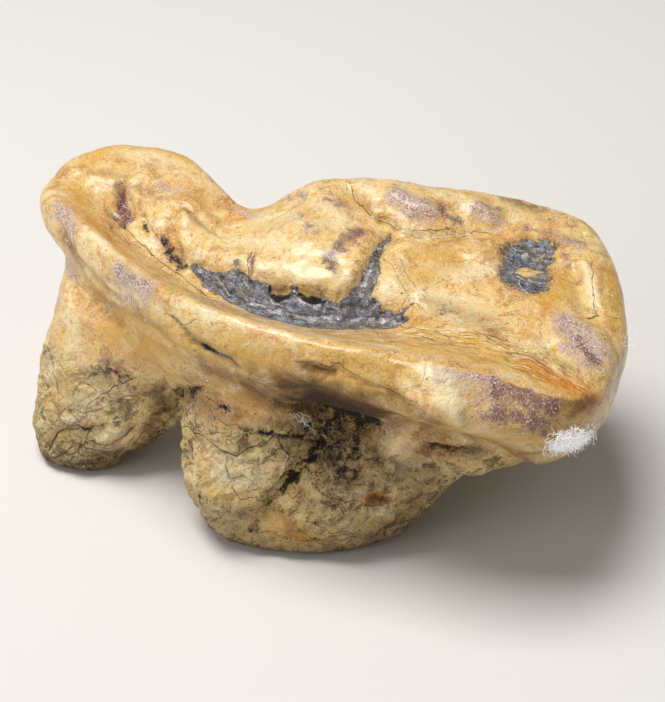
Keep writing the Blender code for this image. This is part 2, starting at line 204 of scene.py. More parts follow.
MARKS["brown", "near"] = (
    (1.5, 1, (2.2, 16.8, 1), (4.6, 16, 1.7), (8, 15.6, 1.6), (10.6, 15.4, 0.8)),
    (1.4, 0.75, (0.6, 16.8, 0.5), (3, 17.2, 1), (6, 17, 1.2), (9, 16.8, 0.9)),
    (2.2, 0.72, (-4, 15.6, 1.2), (-1, 14.6, 1.8), (2, 14, 1.8)),
    (1, 0.8, (8.6, 17.6, 0.5), (11.6, 17.4, 0.6), (14, 16.4, 0.5)),
    (1.8, 0.7, (10, 13, 0.8), (14.4, 12.8, 1.4), (19, 12.6, 1.4)),
    (1.2, 0.62, (5.6, 9, 1), (7.4, 8, 1), (6.4, 6, 0.9), (3.4, 5.8, 0.6)),
    (1.2, 0.72, (11.4, 10.2, 0.6), (12.4, 8, 0.7), (10.8, 5, 0.7), (8.4, 2.4, 0.6)),
    (0.6, 0.55, (-14.6, 15.5, 0.3), (-12.2, 16.8, 0.35), (-10.4, 17.4, 0.4), (-7.4, 17.6, 0.4)),
    (0.5, 0.55, (-5.7, 18.4, 0.3), (-4.2, 18.3, 0.3), (-1.6, 18, 0.3)),
    (0.7, 0.6, (-4.8, 14.2, 0.5), (-6.2, 13.2, 0.5), (-4.4, 12, 0.5)),
    (0.36, 1, *RED_PIT),
    (0.8, 0.62, (3.4, 18.2, 0.3), (4.2, 17.6, 0.5), (3.2, 16.8, 0.5)),
    (2.2, 0.4, (4, 18.4, 0.8), (8, 17.8, 1.2), (11.6, 16.6, 1)),
    (1.6, 0.5, (11.4, 14.8, 0.8), (14.4, 13.8, 1.2), (17.4, 13.4, 1)),
    (2, 0.62, (9.6, 14.6, 0.8), (13, 13.2, 1.3), (17, 12.8, 1.2), (20.6, 13.6, 0.6)),
    (2.2, 0.56, (2.6, 8.6, 1), (5.6, 7.4, 1.3), (9.2, 7.4, 1.2), (11.6, 9.6, 0.8)),
    (1.2, 0.6, (7.8, 10.6, 0.5), (9.6, 7.4, 0.7), (11.6, 8.2, 0.7), (13, 9.2, 0.4)),
    (0.8, 0.85, (-10.4, 9, 0.7), (-9.8, 7.2, 0.8), (-11.2, 5, 0.6)),
    (0.7, 0.9, (21.4, 17.6, 0.4), (22.6, 17, 0.5), (23.4, 16.2, 0.3)),
    (0.9, 0.7, (-20, 0.6, 0.4), (-16.9, 0.9, 0.7), (-13, 2.4, 0.6), (-10.6, 4.2, 0.5)),
    (0.5, 0.7, (-19.4, 19, 0.3), (-18, 18, 0.5), (-16.8, 17.4, 0.3)),
    (0.6, 0.6, (12.2, 19.2, 0.1), (11.8, 18.6, 0.16)),
    (0.5, 0.85, (8.2, 6.3, 0.2), (8.9, 5.9, 0.4), (9.8, 6, 0.2)),
    (0.5, 0.7, (1.8, 4.6, 0.2), (2.6, 3.4, 0.3), (2.8, 2.6, 0.2)),
)
# the darkest stain in the talon pits, and painted shade in the hollow under the overhang, along the
# creases and at the feet of the roots
MARKS["umber", "top"] = (
    (0.4, 0.7, *TALON_STAIN),
    (0.3, 0.9, *TALON_PIT),
)
MARKS["umber", "near"] = (
    (1.3, 1, (2.6, 14.4, 1), (4.6, 14.4, 1.9), (7.4, 14.2, 1.6), (9.2, 14, 0.7)),
    (1.2, 0.95, (3.6, 12.6, 1), (5.6, 12, 1.3), (7.4, 11.8, 0.8)),
    (2, 0.9, (3.8, 11.2, 0.8), (5, 10.4, 1.4), (6.8, 10.6, 0.9)),
    (1.5, 0.9, (0.9, 13.2, 0.5), (2.2, 12.6, 1.1), (3.6, 11.6, 1.1)),
    (1.4, 0.7, (7.2, 12.4, 0.5), (8.6, 11.6, 0.6), (8.4, 9.8, 0.5)),
    (2.2, 0.8, (1.6, 11.6, 0.9), (3.6, 9.6, 1.3), (5.6, 8.4, 1.2)),
    (1.6, 0.66, (1, 15.4, 0.8), (5, 15, 1.3), (9, 14.6, 1)),
    (1.8, 0.62, (0, 15.8, 0.6), (3.4, 16.2, 1.4), (7.4, 15.8, 1.4), (10, 15, 0.6)),
    (0.9, 0.7, (3.4, 17.4, 0.2), (4.6, 17, 0.5), (6.4, 16.6, 0.4)),
    (1.2, 0.8, (4.2, 10.4, 0.8), (5.4, 8.8, 1), (6.8, 8, 0.7)),
    (0.8, 0.7, (-9, 7.6, 0.3), (-7.6, 9.6, 0.4), (-6, 11.2, 0.4)),
    (0.7, 0.75, (11.8, 10.6, 0.4), (13.2, 10.6, 0.5), (15.8, 10.6, 0.4)),
    (0.8, 0.75, (-19.4, 0, 0.4), (-16, 0.4, 0.5), (-12.6, 1.8, 0.4), (-10.4, 4.2, 0.3)),
    (0.9, 0.6, (12.8, 6, 0.4), (10.6, 2.6, 0.6), (8.2, 0.6, 0.5)),
    (0.6, 0.6, (-5.2, 1.4, 0.3), (0, 0.2, 0.5), (6, 0.4, 0.4)),
    (0.6, 0.5, *TALON_CREASE),
    (0.6, 0.8, (-9.2, 7, 0.3), (-8.7, 8.8, 0.4), (-7.4, 10.4, 0.4), (-5.6, 11.5, 0.3)),
    (0.7, 0.6, (-14.4, 10.2, 0.4), (-13.2, 10.8, 0.6), (-12.1, 10.2, 0.3)),
)
# purple and wine-coloured iron stain
MARKS["purple", "top"] = (
    (0.8, 1, (2.3, 3, 0.4), (2.1, 1.8, 0.45), (1.7, 0.7, 0.4), (1.4, -0.1, 0.45)),
    (0.7, 0.95, (1.4, -0.1, 0.45), (1.2, -0.8, 0.55), (1.8, -1.4, 0.35)),
    (0.9, 0.72, (-2.8, 3.4, 0.35), (-1.7, 2.3, 0.45), (-0.6, 1.3, 0.4)),
    (1, 0.62, (-1.6, 5.6, 0.35), (-0.4, 5.5, 0.45), (0.8, 5.3, 0.35)),
    (0.9, 0.7, (-5.6, 6, 0.4), (-4.4, 5.7, 0.5), (-3, 5.4, 0.4)),
    (0.35, 0.95, (-4.5, -1.3, 0.24), (-4.2, -1.9, 0.3), (-4, -2.5, 0.14)),
    (0.5, 0.7, *TALON_STAIN),
    (0.8, 0.7, (12.8, 5.6, 0.4), (13.2, 3.6, 0.5), (14.4, 2, 0.5), (16.4, 1.6, 0.3)),
    (0.8, 0.6, (13.4, 8.8, 0.3), (15.6, 9.2, 0.4), (17.2, 8.2, 0.4), (17.4, 6.6, 0.3)),
    (0.5, 0.9, (7, 8.1, 0.35), (7.8, 7.3, 0.45), (8.8, 7.4, 0.35)),
    (0.5, 0.75, (9.8, 9.2, 0.3), (10.8, 9.6, 0.4), (11.4, 10.2, 0.3)),
    (0.6, 0.75, (16.2, 8.6, 0.3), (17, 8, 0.4), (17.6, 7, 0.2)),
    (0.8, 0.6, (13.6, 9.2, 0.4), (15.4, 9.8, 0.5), (18, 9.6, 0.3)),
    (0.6, 0.85, (20.8, -1.8, 0.3), (21.8, -3, 0.5), (22.6, -3.2, 0.3)),
    (0.35, 1, *TALON_PIT),
)
MARKS["purple", "near"] = (
    (0.9, 0.6, (8.2, 12.8, 0.5), (9.4, 12.4, 0.6), (10.4, 12.6, 0.3)),
    (1.1, 1, (17, 18.6, 0.5), (18.8, 18.4, 0.8), (20.6, 17.8, 0.7), (21.2, 17, 0.3)),
    (1, 0.95, (17.2, 17.4, 0.3), (19, 17.2, 0.7), (20.6, 16.7, 0.6), (21.4, 16.2, 0.2)),
    (0.5, 0.8, (19.9, 16.4, 0.3), (20.8, 15.6, 0.3)),
    (0.9, 0.5, (-14.6, 10.6, 0.5), (-13.3, 10.9, 0.8), (-12.2, 10.2, 0.5)),
    (0.6, 0.55, (8.8, 14.2, 0.2), (10.2, 13.6, 0.4)),
    (0.6, 0.55, (2.4, 18.2, 0.2), (2.8, 17, 0.4)),
)
# pink, glittering wear facets
MARKS["pink", "top"] = (
    (0.7, 1, (3.8, 7.2, 0.7), (5.4, 6.9, 0.9), (6.8, 7, 0.6)),
    (0.9, 1, (19.4, -0.6, 0.8), (20.8, -1.6, 1.3), (22.4, -2, 0.9)),
    (0.6, 0.85, (20, -2.8, 0.3), (21.2, -3.4, 0.5), (22.2, -3.8, 0.3)),
    (0.6, 0.8, (-20.6, -2, 0.5), (-19.4, -3, 0.6), (-18.2, -4.2, 0.5)),
    (0.6, 0.85, (-12.8, -7.9, 0.4), (-11.2, -8.8, 0.6), (-9.2, -9.7, 0.5)),
    (0.6, 0.75, (9.4, 8.6, 0.5), (10.6, 9, 0.6), (11.8, 8.8, 0.4)),
    (0.6, 0.6, (-8, 4.6, 0.5), (-6.6, 4, 0.4)),
    (0.6, 0.6, (-14.6, 3.6, 0.4), (-13, 3.4, 0.4)),
    (0.6, 0.6, (16.4, 9.4, 0.5), (18.2, 8.6, 0.4)),
)
MARKS["pink", "near"] = (
    (0.7, 0.9, (13.2, 20, 0.3), (15.2, 19.6, 0.5), (17, 19, 0.4)),
    (0.6, 0.7, (15.6, 18.8, 0.3), (16.9, 18, 0.4), (17.4, 17, 0.2)),
)
# orange varnish
MARKS["orange", "top"] = (
    (0.9, 1, (18, -5.7, 0.2), (20, -6, 0.6), (21.8, -6.1, 0.8), (23.2, -5.8, 0.4)),
    (0.8, 0.75, (-18.6, -1.6, 0.3), (-16, -3.6, 0.5), (-13, -5.6, 0.5), (-9.6, -7.2, 0.3)),
    (0.8, 0.6, (10.6, 7.2, 0.4), (12.2, 7.4, 0.5), (11.6, 9.8, 0.4)),
    (0.9, 0.65, (17.8, 0.6, 0.7), (18.6, -0.4, 0.6)),
    (0.8, 0.55, (-18.8, 2, 0.4), (-17.6, 0.4, 0.4)),
)
MARKS["orange", "near"] = (
    (0.6, 0.58, (-0.6, 20.3, 0.2), (0.8, 20.1, 0.4), (2, 20.1, 0.2)),
    (0.6, 0.85, (8.3, 6.4, 0.3), (9, 6.1, 0.4), (10, 6.3, 0.2)),
    (0.8, 0.66, (2.2, 4, 0.3), (3, 3.2, 0.4), (3.6, 2.4, 0.3)),
    (0.6, 0.65, (-4.6, 7.9, 0.3), (-3.6, 7.7, 0.4)),
    (0.9, 0.55, (21, 18.2, 0.4), (22.2, 16.6, 0.5)),
)
# pale cream, and along the near crest and on the bulge of the wall also a painted highlight
MARKS["cream", "top"] = (
    (1.2, 0.7, (-6.4, 0.4, 0.8), (-3.6, 0.2, 1.2), (-1, -0.8, 1.1), (2.4, -1.4, 0.5)),
    (0.7, 0.85, (-6.4, -1.8, 0.3), (-3, -2.2, 0.6), (0.4, -2.2, 0.6), (3, -1.8, 0.4)),
    (1.3, 0.75, (-6, 3.6, 0.8), (-3.6, 3.4, 1), (-1, 1.8, 0.8), (1.4, 4.6, 0.5)),
    (0.5, 0.8, (2.8, 4.4, 0.3), (3.6, 3.8, 0.3)),
    (0.5, 0.9, (0.3, 8.4, 0.3), (1.6, 7.4, 0.4), (2.6, 6.4, 0.2)),
    (0.5, 1, (-11.4, 1.2, 0.25), (-10.9, 0.6, 0.35)),
    (1, 0.8, (-19.6, 6.2, 0.5), (-16.6, 6.8, 0.8), (-13.6, 6.6, 0.5)),
    (0.5, 0.9, (-16, 0.2, 0.15), (-13.8, -1.2, 0.3), (-11.4, -2.3, 0.2)),
    (0.6, 0.9, (-16.9, -4.8, 0.4), (-15.1, -5.6, 0.5), (-13.3, -6.7, 0.3)),
    (0.45, 1, *LIP),
    (1.4, 0.75, (7.6, -0.6, 0.8), (10.6, -0.4, 1.1), (13, -0.6, 0.7)),
    (1.2, 0.75, (8.6, 2, 0.8), (11, 2.4, 1.1), (12.6, 3.6, 0.8)),
    (0.5, 0.8, (6.2, -1.6, 0.6), (7.2, -1.4, 0.4)),
    (0.8, 0.7, (-2, -9.2, 0.5), (4, -9.4, 0.8), (9, -8.8, 0.7)),
    (1.5, 0.62, (-3, 9, 0.7), (1, 9.4, 0.9), (7, 9.6, 0.9), (12, 9.8, 0.7)),
    (1.3, 0.62, (-4.2, 5.4, 0.8), (-1, 4.8, 1), (0.8, 4, 0.6)),
)
MARKS["cream", "near"] = (
    # the first two rows, on the bulge and along the crest, are pale enamel with a painted highlight
    (0.7, 1, (12.4, 19.8, 0.5), (13.8, 19.2, 0.9), (14.6, 18.4, 0.8), (15.4, 17.4, 0.4)),
    (0.4, 0.95, (-6.5, 20.2, 0.12), (-2, 20.5, 0.2), (3, 20.6, 0.25), (9, 20.4, 0.25)),
    (0.4, 0.9, (-13.8, 18.1, 0.12), (-11.4, 18.7, 0.18), (-8.3, 19.4, 0.2)),
    (1.3, 0.85, (-18.2, 14.4, 0.6), (-17.2, 12.4, 0.9), (-18, 9.6, 0.9), (-19, 7.4, 0.5)),
    (0.4, 1, (-5.1, 6.6, 0.22), (-4.8, 5.9, 0.34), (-5.2, 5.2, 0.18)),
    (0.6, 0.85, (-4.4, 7.4, 0.4), (-3, 7.3, 0.6), (-1.6, 7, 0.5)),
    (1.6, 0.8, (-18.6, 8, 1), (-17, 7.4, 1.4), (-15.2, 7.2, 1)),
    (1.2, 0.8, (-4.4, 8, 0.6), (-3, 7.6, 1), (-1.4, 6.6, 1.2), (0.2, 7, 0.6)),
    (0.4, 1, (-14.8, 4.1, 0.3), (-13.9, 4.6, 0.4), (-13.1, 5.1, 0.28)),
    (0.5, 0.85, (-17.8, 5.1, 0.4), (-16.8, 5.6, 0.3)),
    (0.5, 0.95, (8.9, 5, 0.35), (9.6, 4.6, 0.35)),
    (0.5, 0.8, (6.3, 6.9, 0.25), (7.6, 7, 0.35)),
    (0.8, 0.75, (8.9, 11.4, 0.4), (9.8, 10, 0.6), (10.6, 8.8, 0.5)),
    (1, 0.6, (16.6, 16, 0.6), (18.4, 15.2, 0.6), (19.8, 14.4, 0.4)),
)
# golden glow of the smooth wall
MARKS["gold", "top"] = (
    (1.4, 0.8, (8, -0.2, 0.6), (9.4, 3.6, 0.9), (7.6, 2.6, 0.8)),
    (1.2, 0.85, (17.8, 5.6, 0.5), (18.2, 3, 0.8), (17.4, 1.2, 0.6)),
    (0.9, 0.9, (-20.8, 1.8, 0.5), (-18.6, -0.8, 0.5), (-16.2, -3, 0.4)),
    (0.9, 1, (13, -4.4, 0.3), (16.4, -5.4, 0.5), (18.6, -6.6, 0.5), (21.4, -7.4, 0.5),
     (23.2, -6.9, 0.4)),
    (1.1, 0.75, (4, -8.2, 0.7), (9, -7.4, 1), (14, -6.6, 0.9), (18, -6.6, 0.6)),
    (1.6, 0.8, (-21, 5, 0.7), (-18, 8.4, 0.9), (-13.6, 7.6, 0.7)),
    (1.4, 0.85, (20.4, 8.6, 0.7), (22, 5, 0.8), (22.8, 1.4, 0.6)),
)
MARKS["gold", "near"] = (
    (1.4, 0.7, (-19, 6, 0.8), (-17.4, 8.6, 1), (-18.4, 11, 0.8)),
    (1, 0.6, (-4.6, 7, 0.6), (-3.4, 5.8, 0.8), (-0.4, 5.6, 0.6)),
    (1.6, 0.9, (-13.4, 14, 0.8), (-11.2, 13.4, 1.2), (-8.8, 14.6, 1), (-6.6, 15.8, 0.8)),
    (1.2, 0.75, (4, 20.2, 0.3), (8, 19.8, 0.6), (11, 19.2, 0.5)),
    (1, 0.8, (14, 16.8, 0.5), (16.4, 15.2, 0.7), (19, 14, 0.6)),
    (0.4, 0.9, (8.9, 4.7, 0.2), (9.5, 4.4, 0.2)),
    (1.2, 0.85, (1, 3.8, 0.5), (2.6, 2.6, 0.7), (4.8, 2.4, 0.6)),
    (1.6, 0.85, (4, 18.8, 0.8), (8, 18.2, 1.2), (11.4, 17.4, 0.8)),
    (1.4, 0.8, (10.6, 15.4, 0.8), (14, 14.6, 1), (18.4, 13.2, 0.8)),
    (1.6, 0.6, (-3.6, 13.6, 0.8), (-1, 12.8, 1), (1.4, 12.4, 0.6)),
    (1.8, 0.95, (-12, 16.6, 0.6), (-7, 17.4, 0.9), (-2, 18.2, 0.9), (3, 18.2, 0.8)),
    (1.8, 0.9, (15, 15.6, 0.7), (18, 14.8, 0.9), (21, 15.6, 0.6)),
)
# grey bloom, which is a brown film where it lies on the filling
MARKS["grey", "top"] = (
    (0.6, 1, (1.8, -5, 0.6), (4.2, -4.4, 0.8), (6.4, -3, 0.5)),
    (0.5, 0.9, (4.7, -1.4, 0.3), (4.5, 1.2, 0.3), (4.4, 3.4, 0.2)),
    (0.7, 1, (14.4, 7.2, 0.4), (15.4, 7, 0.6)),
    (1.4, 0.74, (9, -1.4, 0.6), (12, -1.9, 1), (14.4, -2.2, 0.6)),
    (0.6, 0.65, (-10.4, -2.8, 0.3), (-9.2, -2.4, 0.4), (-7.8, -2.1, 0.2)),
)
MARKS["grey", "near"] = (
    (0.9, 0.8, (-6.8, 9.9, 0.4), (-5, 10.4, 0.6), (-3.2, 10.6, 0.5)),
    (0.8, 0.8, (-19.2, 1.4, 0.4), (-17.4, 1.8, 0.6), (-15.4, 2.6, 0.4)),
    (0.8, 0.8, (-5.2, 4.6, 0.4), (-3.2, 4.6, 0.7), (-1, 4.2, 0.5)),
    (0.8, 0.75, (5.2, 4.2, 0.5), (6.9, 3.9, 0.6), (7.7, 4.8, 0.3)),
    (1.1, 0.65, (10.2, 8.6, 0.6), (11.2, 7.6, 0.7), (10.6, 6, 0.4)),
    (0.5, 0.6, (-19.2, 16.8, 0.3), (-17.4, 15.8, 0.3), (-15.4, 15.2, 0.2)),
)
# chalk-white chipped corner
MARKS["chalk", "near"] = (
    (0.35, 1, (21.2, 14.9, 0.2), (21.9, 14.4, 0.42), (22.8, 14, 0.42), (23.2, 13.4, 0.2)),
    (0.4, 0.9, (21, 13.6, 0.2), (21.8, 13.6, 0.35)),
)
# long wear lines on the slope below the trench
MARKS["flow", "top"] = (
    (1, 1, (-17, -0.8, 0.4), (-14, -3.2, 0.8), (-9, -5.8, 1.3), (-4, -7.6, 1.8), (1, -8.4, 1.6),
     (6, -6.8, 2), (11, -5.2, 2.4), (16, -5.2, 2.2), (21.5, -6, 1.2)),
)

# Strokes that lift or lower the surface: (softness, rise in mm, points with their radius).
CARVINGS = {}
CARVINGS["top"] = (
    (0.16, -0.5, (-2.4, -3.2, 0.12), (-1.7, -3.4, 0.26), (-1, -3.3, 0.12)),
    (0.16, -0.4, (-0.2, -3.3, 0.1), (0.7, -3.2, 0.22), (1.7, -3.2, 0.08)),
    (0.25, -0.5, *TALON_PIT),
    (0.2, -0.4, *TALON_PIT_LOW),
    (0.2, -0.5, *TALON_SLIT),
    (0.4, -0.14, *TALON_STAIN),
    (0.16, -0.3, (-4.6, -1.3, 0.08), (-4.4, -1.9, 0.14), (-4.1, -2.6, 0.08)),
    (0.22, -0.35, (-0.4, 7.9, 0.05), (1, 6.6, 0.1), (2.4, 5.7, 0.12), (4.6, 5.1, 0.1)),
    (0.22, -0.3, (5, 4.4, 0.05), (5.6, 4.6, 0.1), (7, 5.1, 0.12), (9.6, 6.7, 0.08)),
    (0.4, 0.3, (0.6, 8, 0.2), (2.2, 6.6, 0.3)),
    (0.5, 0.35, (3.4, 7.4, 0.5), (5.6, 6.9, 0.6), (7, 7.2, 0.4)),
    (0.6, -0.3, (7.6, 7.6, 0.3), (8.6, 8.2, 0.4)),
    (0.6, 0.4, (9.6, 9.2, 0.5), (11, 9.2, 0.6)),
    (0.22, -0.35, (19.4, 7.1, 0.05), (20, 5, 0.12), (20.8, 2.9, 0.1), (21.4, 2.1, 0.05)),
    (0.4, 0.35, *LIP),
    (0.2, -0.35, (19.8, 1.6, 0.05), (20.8, 1.5, 0.1), (22, 2.4, 0.08), (22.8, 2.4, 0.05)),
    (0.5, -0.25, (19.8, -0.8, 0.5), (21, -1.8, 1), (22.2, -2.6, 0.7)),
    (0.6, 0.25, (-11.4, 1.4, 0.3), (-10.9, 0.4, 0.4)),
    (0.4, -0.3, (-11.9, 2.4, 0.2), (-10.2, 1.6, 0.3), (-8, 0.9, 0.2)),
    (0.8, -0.25, (-2, 4.2, 0.5), (0.2, 3, 0.7)),
    (0.8, -0.25, (8.6, 3.8, 0.8), (11, 3.2, 0.9)),
)
CARVINGS["near"] = (
    (0.5, -0.36, *TALON_CREASE),
    (0.6, -0.45, (-8.9, 7.6, 0.2), (-7.8, 9.8, 0.4), (-6.2, 11.2, 0.4), (-4.6, 11.8, 0.2)),
    (0.9, -0.6, (3.4, 12.6, 0.6), (5.4, 11.9, 1.1), (7.4, 11.9, 0.8)),
    (0.22, -0.4, *WALL_SLIT),
    (0.16, -0.3, (-7.2, 19.3, 0.05), (-6.2, 19.1, 0.1), (-5.5, 18.7, 0.05)),
    (0.4, -0.2, (-6.2, 18.9, 0.2), (-5, 18.4, 0.3)),
    (0.28, -0.45, *RED_PIT),
    (0.28, -0.3, (6.2, 19.1, 0.05), (8.4, 18.5, 0.1), (11.1, 17.9, 0.12), (13.4, 17.2, 0.1),
     (14.6, 15.8, 0.06)),
    (0.7, -0.45, (2.6, 17, 0.4), (4.2, 15.4, 0.8), (7, 14.6, 0.8)),
    (0.5, 0.35, (12.8, 19.6, 0.4), (14.2, 18.8, 0.8), (15.2, 17.8, 0.5)),
    (0.6, -0.3, (-15.4, 15.2, 0.2), (-12.2, 16.4, 0.3), (-9, 17, 0.3), (-5.8, 16.8, 0.2)),
    (0.26, -0.4, *MAIN_CRACK),
    (0.35, 0.35, (-14.7, 4.2, 0.2), (-13.2, 5, 0.4)),
    (0.35, 0.3, (-17.8, 5, 0.3), (-16.8, 5.5, 0.3)),
    (0.4, -0.35, (-20.2, 2.6, 0.1), (-18.8, 2.2, 0.2), (-17.4, 2.2, 0.1)),
    (0.4, 0.25, (-6.6, 9.8, 0.3), (-5, 10.4, 0.4), (-3.6, 10.8, 0.3)),
    (0.3, -0.4, (-6.4, 8.5, 0.12), (-4.3, 8.7, 0.14), (-1.8, 8.2, 0.16), (0, 9.6, 0.1)),
    (0.3, -0.3, (-1.6, 9.7, 0.08), (0.4, 10.1, 0.14), (2.4, 9.9, 0.08)),
    (0.5, -0.6, *FURROW),
    (0.35, -0.6, *ROOT_PIT),
    (0.4, -0.3, (-4.9, 5.9, 0.3), (-5.2, 5, 0.2)),
    (0.6, -0.35, (-8.6, 9, 0.2), (-6.4, 11.2, 0.3), (-4.6, 12.6, 0.2)),
    (0.35, 0.25, (8.9, 5, 0.3), (9.8, 4.6, 0.3)),
    (0.35, -0.3, (8.6, 6.6, 0.3), (9.6, 6.3, 0.4)),
    (0.6, -0.4, (11.8, 11, 0.3), (13.4, 10.8, 0.4), (16.4, 11, 0.2)),
    (0.35, 0.25, (21.2, 15.4, 0.3), (22.2, 14.6, 0.5), (23, 14, 0.3)),
)

# Crisp dark hairlines: (strength, points).
CRACKS = {}
CRACKS["top"] = (
    (0.7, (-17.8, 1), (-16.6, 0.2), (-15.2, -0.7), (-12.7, -2.1), (-9.8, -3.3), (-7.1, -3.9)),
    (0.5, (-13.2, -0.3), (-12.6, -0.8), (-12, -0.5), (-12, -1.1), (-12.6, -1.2)),
    (0.8, (-4.8, -1), (-4.8, -1.7), (-4.5, -2.3), (-4.1, -2.7)),
    (0.5, (-3.3, 4.6), (-4, 3.6), (-4.6, 2.6)),
    (0.75, (-0.4, 8.2), (0.6, 7), (2.1, 5.9), (3.6, 5.3), (4.8, 5.1), (6.3, 5.4), (8.4, 6.5)),
    (0.6, (4.9, 3.6), (5.3, 4.7), (6.9, 5), (7.8, 5.7), (9.5, 6.7), (11.1, 8)),
    (0.35, (5, 1.2), (6, 0.4), (7.2, -0.8), (8.9, -1.9)),
    (0.35, (6.4, 1), (7.4, 0), (9, -1.2)),
    (0.35, (8.6, -0.6), (9.4, 0.8), (10.8, 1.8), (12.4, 2.6)),
    (0.35, (9.6, 3.2), (11, 4), (12.6, 3.8), (13.6, 3)),
    (0.5, (7.4, -2.2), (7.6, -1.4), (8.2, -1.2), (8.3, -1.7), (7.7, -2.2)),
    (0.3, (12.6, 6.2), (13.2, 4.8), (13.6, 3.4), (14.4, 2.4)),
    (0.7, (19.4, 7.1), (19.7, 5.8), (20.3, 4.3), (20.9, 2.7), (21.3, 2.2)),
    (0.9, (19.6, 1.4), (20.6, 1.6), (21.4, 2.3), (22.2, 2.3), (22.8, 2.6)),
    (0.4, (17.6, 4.6), (18.6, 4.9)),
    (0.5, (5.9, -3.8), (7, -5.6), (7.8, -6.7)),
    (0.8, (7.8, -3), (9.7, -4), (12, -4.3)),
    (0.8, (9, -4.8), (11.6, -5.4), (14.4, -5.2)),
    (0.7, (14, -3.4), (16.6, -4.6), (18.9, -5)),
    (0.6, (0.6, -7), (3, -6.6), (5.6, -5.4)),
)
CRACKS["near"] = (
    (0.6, (5.9, 19.3), (7.3, 19), (8.4, 18.5), (9.9, 18), (11.1, 17.9), (12.3, 18), (13.4, 17.2),
     (14.3, 16.1), (16, 14.6), (18, 13.4)),
    (0.3, (12, 20.2), (12.4, 19.7), (12.2, 19.1), (11.7, 18.7), (10.6, 18.2)),
    (0.8, (-7.6, 19.2), (-6.6, 19.3), (-6, 18.9), (-5.2, 19.3), (-4.8, 19.8)),
    (0.8, (3.4, 19), (4.6, 19.1), (5.8, 19.1), (6.4, 19.4)),
    (0.4, (-19.4, 16.8), (-18, 15.8), (-16.2, 15.3), (-14.4, 15.2)),
    (1, (-19.2, 1.8), (-18.4, 3.6), (-17.5, 4.3), (-16.5, 4.8), (-16, 4.4), (-15.2, 4.9),
     (-14, 5.6)),
    (0.8, (-18.3, 5.2), (-17.5, 4.3), (-16.9, 3.2), (-17.6, 2.2), (-18.6, 1.4)),
    (0.7, (-15.6, 4.5), (-15.9, 3.4), (-16.6, 2.6), (-17.2, 1.6)),
    (0.9, (-15.6, 7.2), (-14.8, 7.8), (-14.2, 8.2), (-13.6, 8.9), (-12.9, 9.3), (-12.1, 9.9),
     (-11.4, 10.3)),
    (0.7, (-17.8, 5.9), (-16.8, 6.4), (-15.9, 6.2), (-15.2, 6.4), (-14.2, 7.2), (-13, 7.6)),
    (0.6, (-19.9, 7.1), (-19.2, 6.4), (-18.6, 5.6), (-18.2, 4.6)),
    (0.6, (-19.6, 9.6), (-18.8, 8.2), (-18.4, 7)),
    (0.7, (-18.6, 4.6), (-18, 5.6), (-17, 6), (-16.3, 5.4)),
    (0.7, (-16.4, 4.8), (-15.6, 3.8), (-14.6, 3.5), (-13, 4.2), (-12.2, 5.2)),
    (0.7, (-18, 3), (-16.8, 3.4), (-15.8, 2.8), (-14.2, 3)),
    (0.7, (-19.6, 2.4), (-18.2, 1.8), (-16.6, 2.4), (-15, 2.2), (-13, 3.2)),
    (0.6, (-19, 1), (-17, 1.4), (-15.2, 1.4)),
    (0.6, (-14.2, 8.2), (-13.2, 7.8), (-12.2, 8.4), (-11, 8.8)),
    (0.5, (-16.8, 7.6), (-16.4, 8.6), (-15.6, 8.8), (-14.8, 8.2)),
    (0.9, (-6.9, 8.4), (-5.4, 8.6), (-4.3, 8.8), (-3.5, 8.6), (-2.5, 8.5), (-1.8, 8.1), (-1.3, 8.6),
     (0, 9.5)),
    (0.8, (-1.8, 8.2), (-1.2, 8.9), (-0.2, 9.1), (0.8, 9.9), (1.8, 10)),
    (0.8, (1, 9.8), (1.8, 8.6), (1.9, 7.6), (1.4, 6.6), (0.8, 5.8)),
    (0.6, (-1.6, 6.2), (-0.8, 5.4), (0.2, 5.6), (0.6, 4.8)),
    (0.7, (-6.4, 10.4), (-5.6, 9.6), (-4.6, 9.8), (-3.8, 9.4), (-2.8, 9.8)),
    (0.6, (-4.4, 10.8), (-3.6, 10.2), (-2.4, 10.4), (-1.4, 10)),
    (0.6, (-2.4, 7.6), (-1.8, 6.9), (-0.8, 7.2), (-0.2, 6.6)),
    (0.7, (4.4, 4), (5.8, 3.2), (7, 3.6), (8, 3)),
    (0.7, (5, 2.4), (6.2, 2.2), (7.2, 2.8), (8.2, 2.4)),
    (0.6, (4.8, 6.6), (6, 6.2), (7.2, 6.4), (8.6, 5.8)),
    (0.6, (3.6, 3.2), (4.4, 2.2), (5.6, 1.4), (6.8, 1.6)),
    (0.6, (6, 8.2), (6.8, 7.6), (7.8, 7.8), (8.6, 7.2)),
)

CHANNELS = (*dict.fromkeys(kind for kind, side in MARKS), "root")

# --- reaches, in mm -----------------------------------------------------------------------------

WANDER = ((1.3, 0.24), (0.5, 0.1))  # size and reach of the slips that roughen every outline
# a point belongs to the top or the near side by how its normal leans and by where it lies
TOP_LEAN = (-0.05, 0.25)
TOP_HEIGHT = (14, 15.5)
NEAR_LEAN = (-0.1, 0.2)
NEAR_DEPTH = (0.5, 2)
CREST_EASE = 0.6
OVERHANG = 16  # all that is lower than this counts as outer wall
# the lip along the rim begins and ends over these lengths, and fades out behind the edge
RIM_START = (0, 4)
RIM_END = (12.5, 19)
RIM_EDGE = (-0.05, 0.15)
LIP_REACH = 2.2
LIP_RISE = 0.5
FILLING_SOFT, PATCH_SOFT, ISLAND_SOFT = 0.16, 0.7, 0.25
PATCH_DEPTH = 0.22
FILL_ROUGHNESS = 0.16
FOOT = 0.9  # nothing is carved at the feet, so that the tooth still stands flat
NECK, NECK_WAVE = 11, 0.7
NECK_BELOW, NECK_ABOVE = 2.4, 1.2
CRACK_FADE = (0.4, 0.9)
CRACK_LIMIT = 2
FAR = 1000.0  # stands for no crack at all

# --- lint ---------------------------------------------------------------------------------------

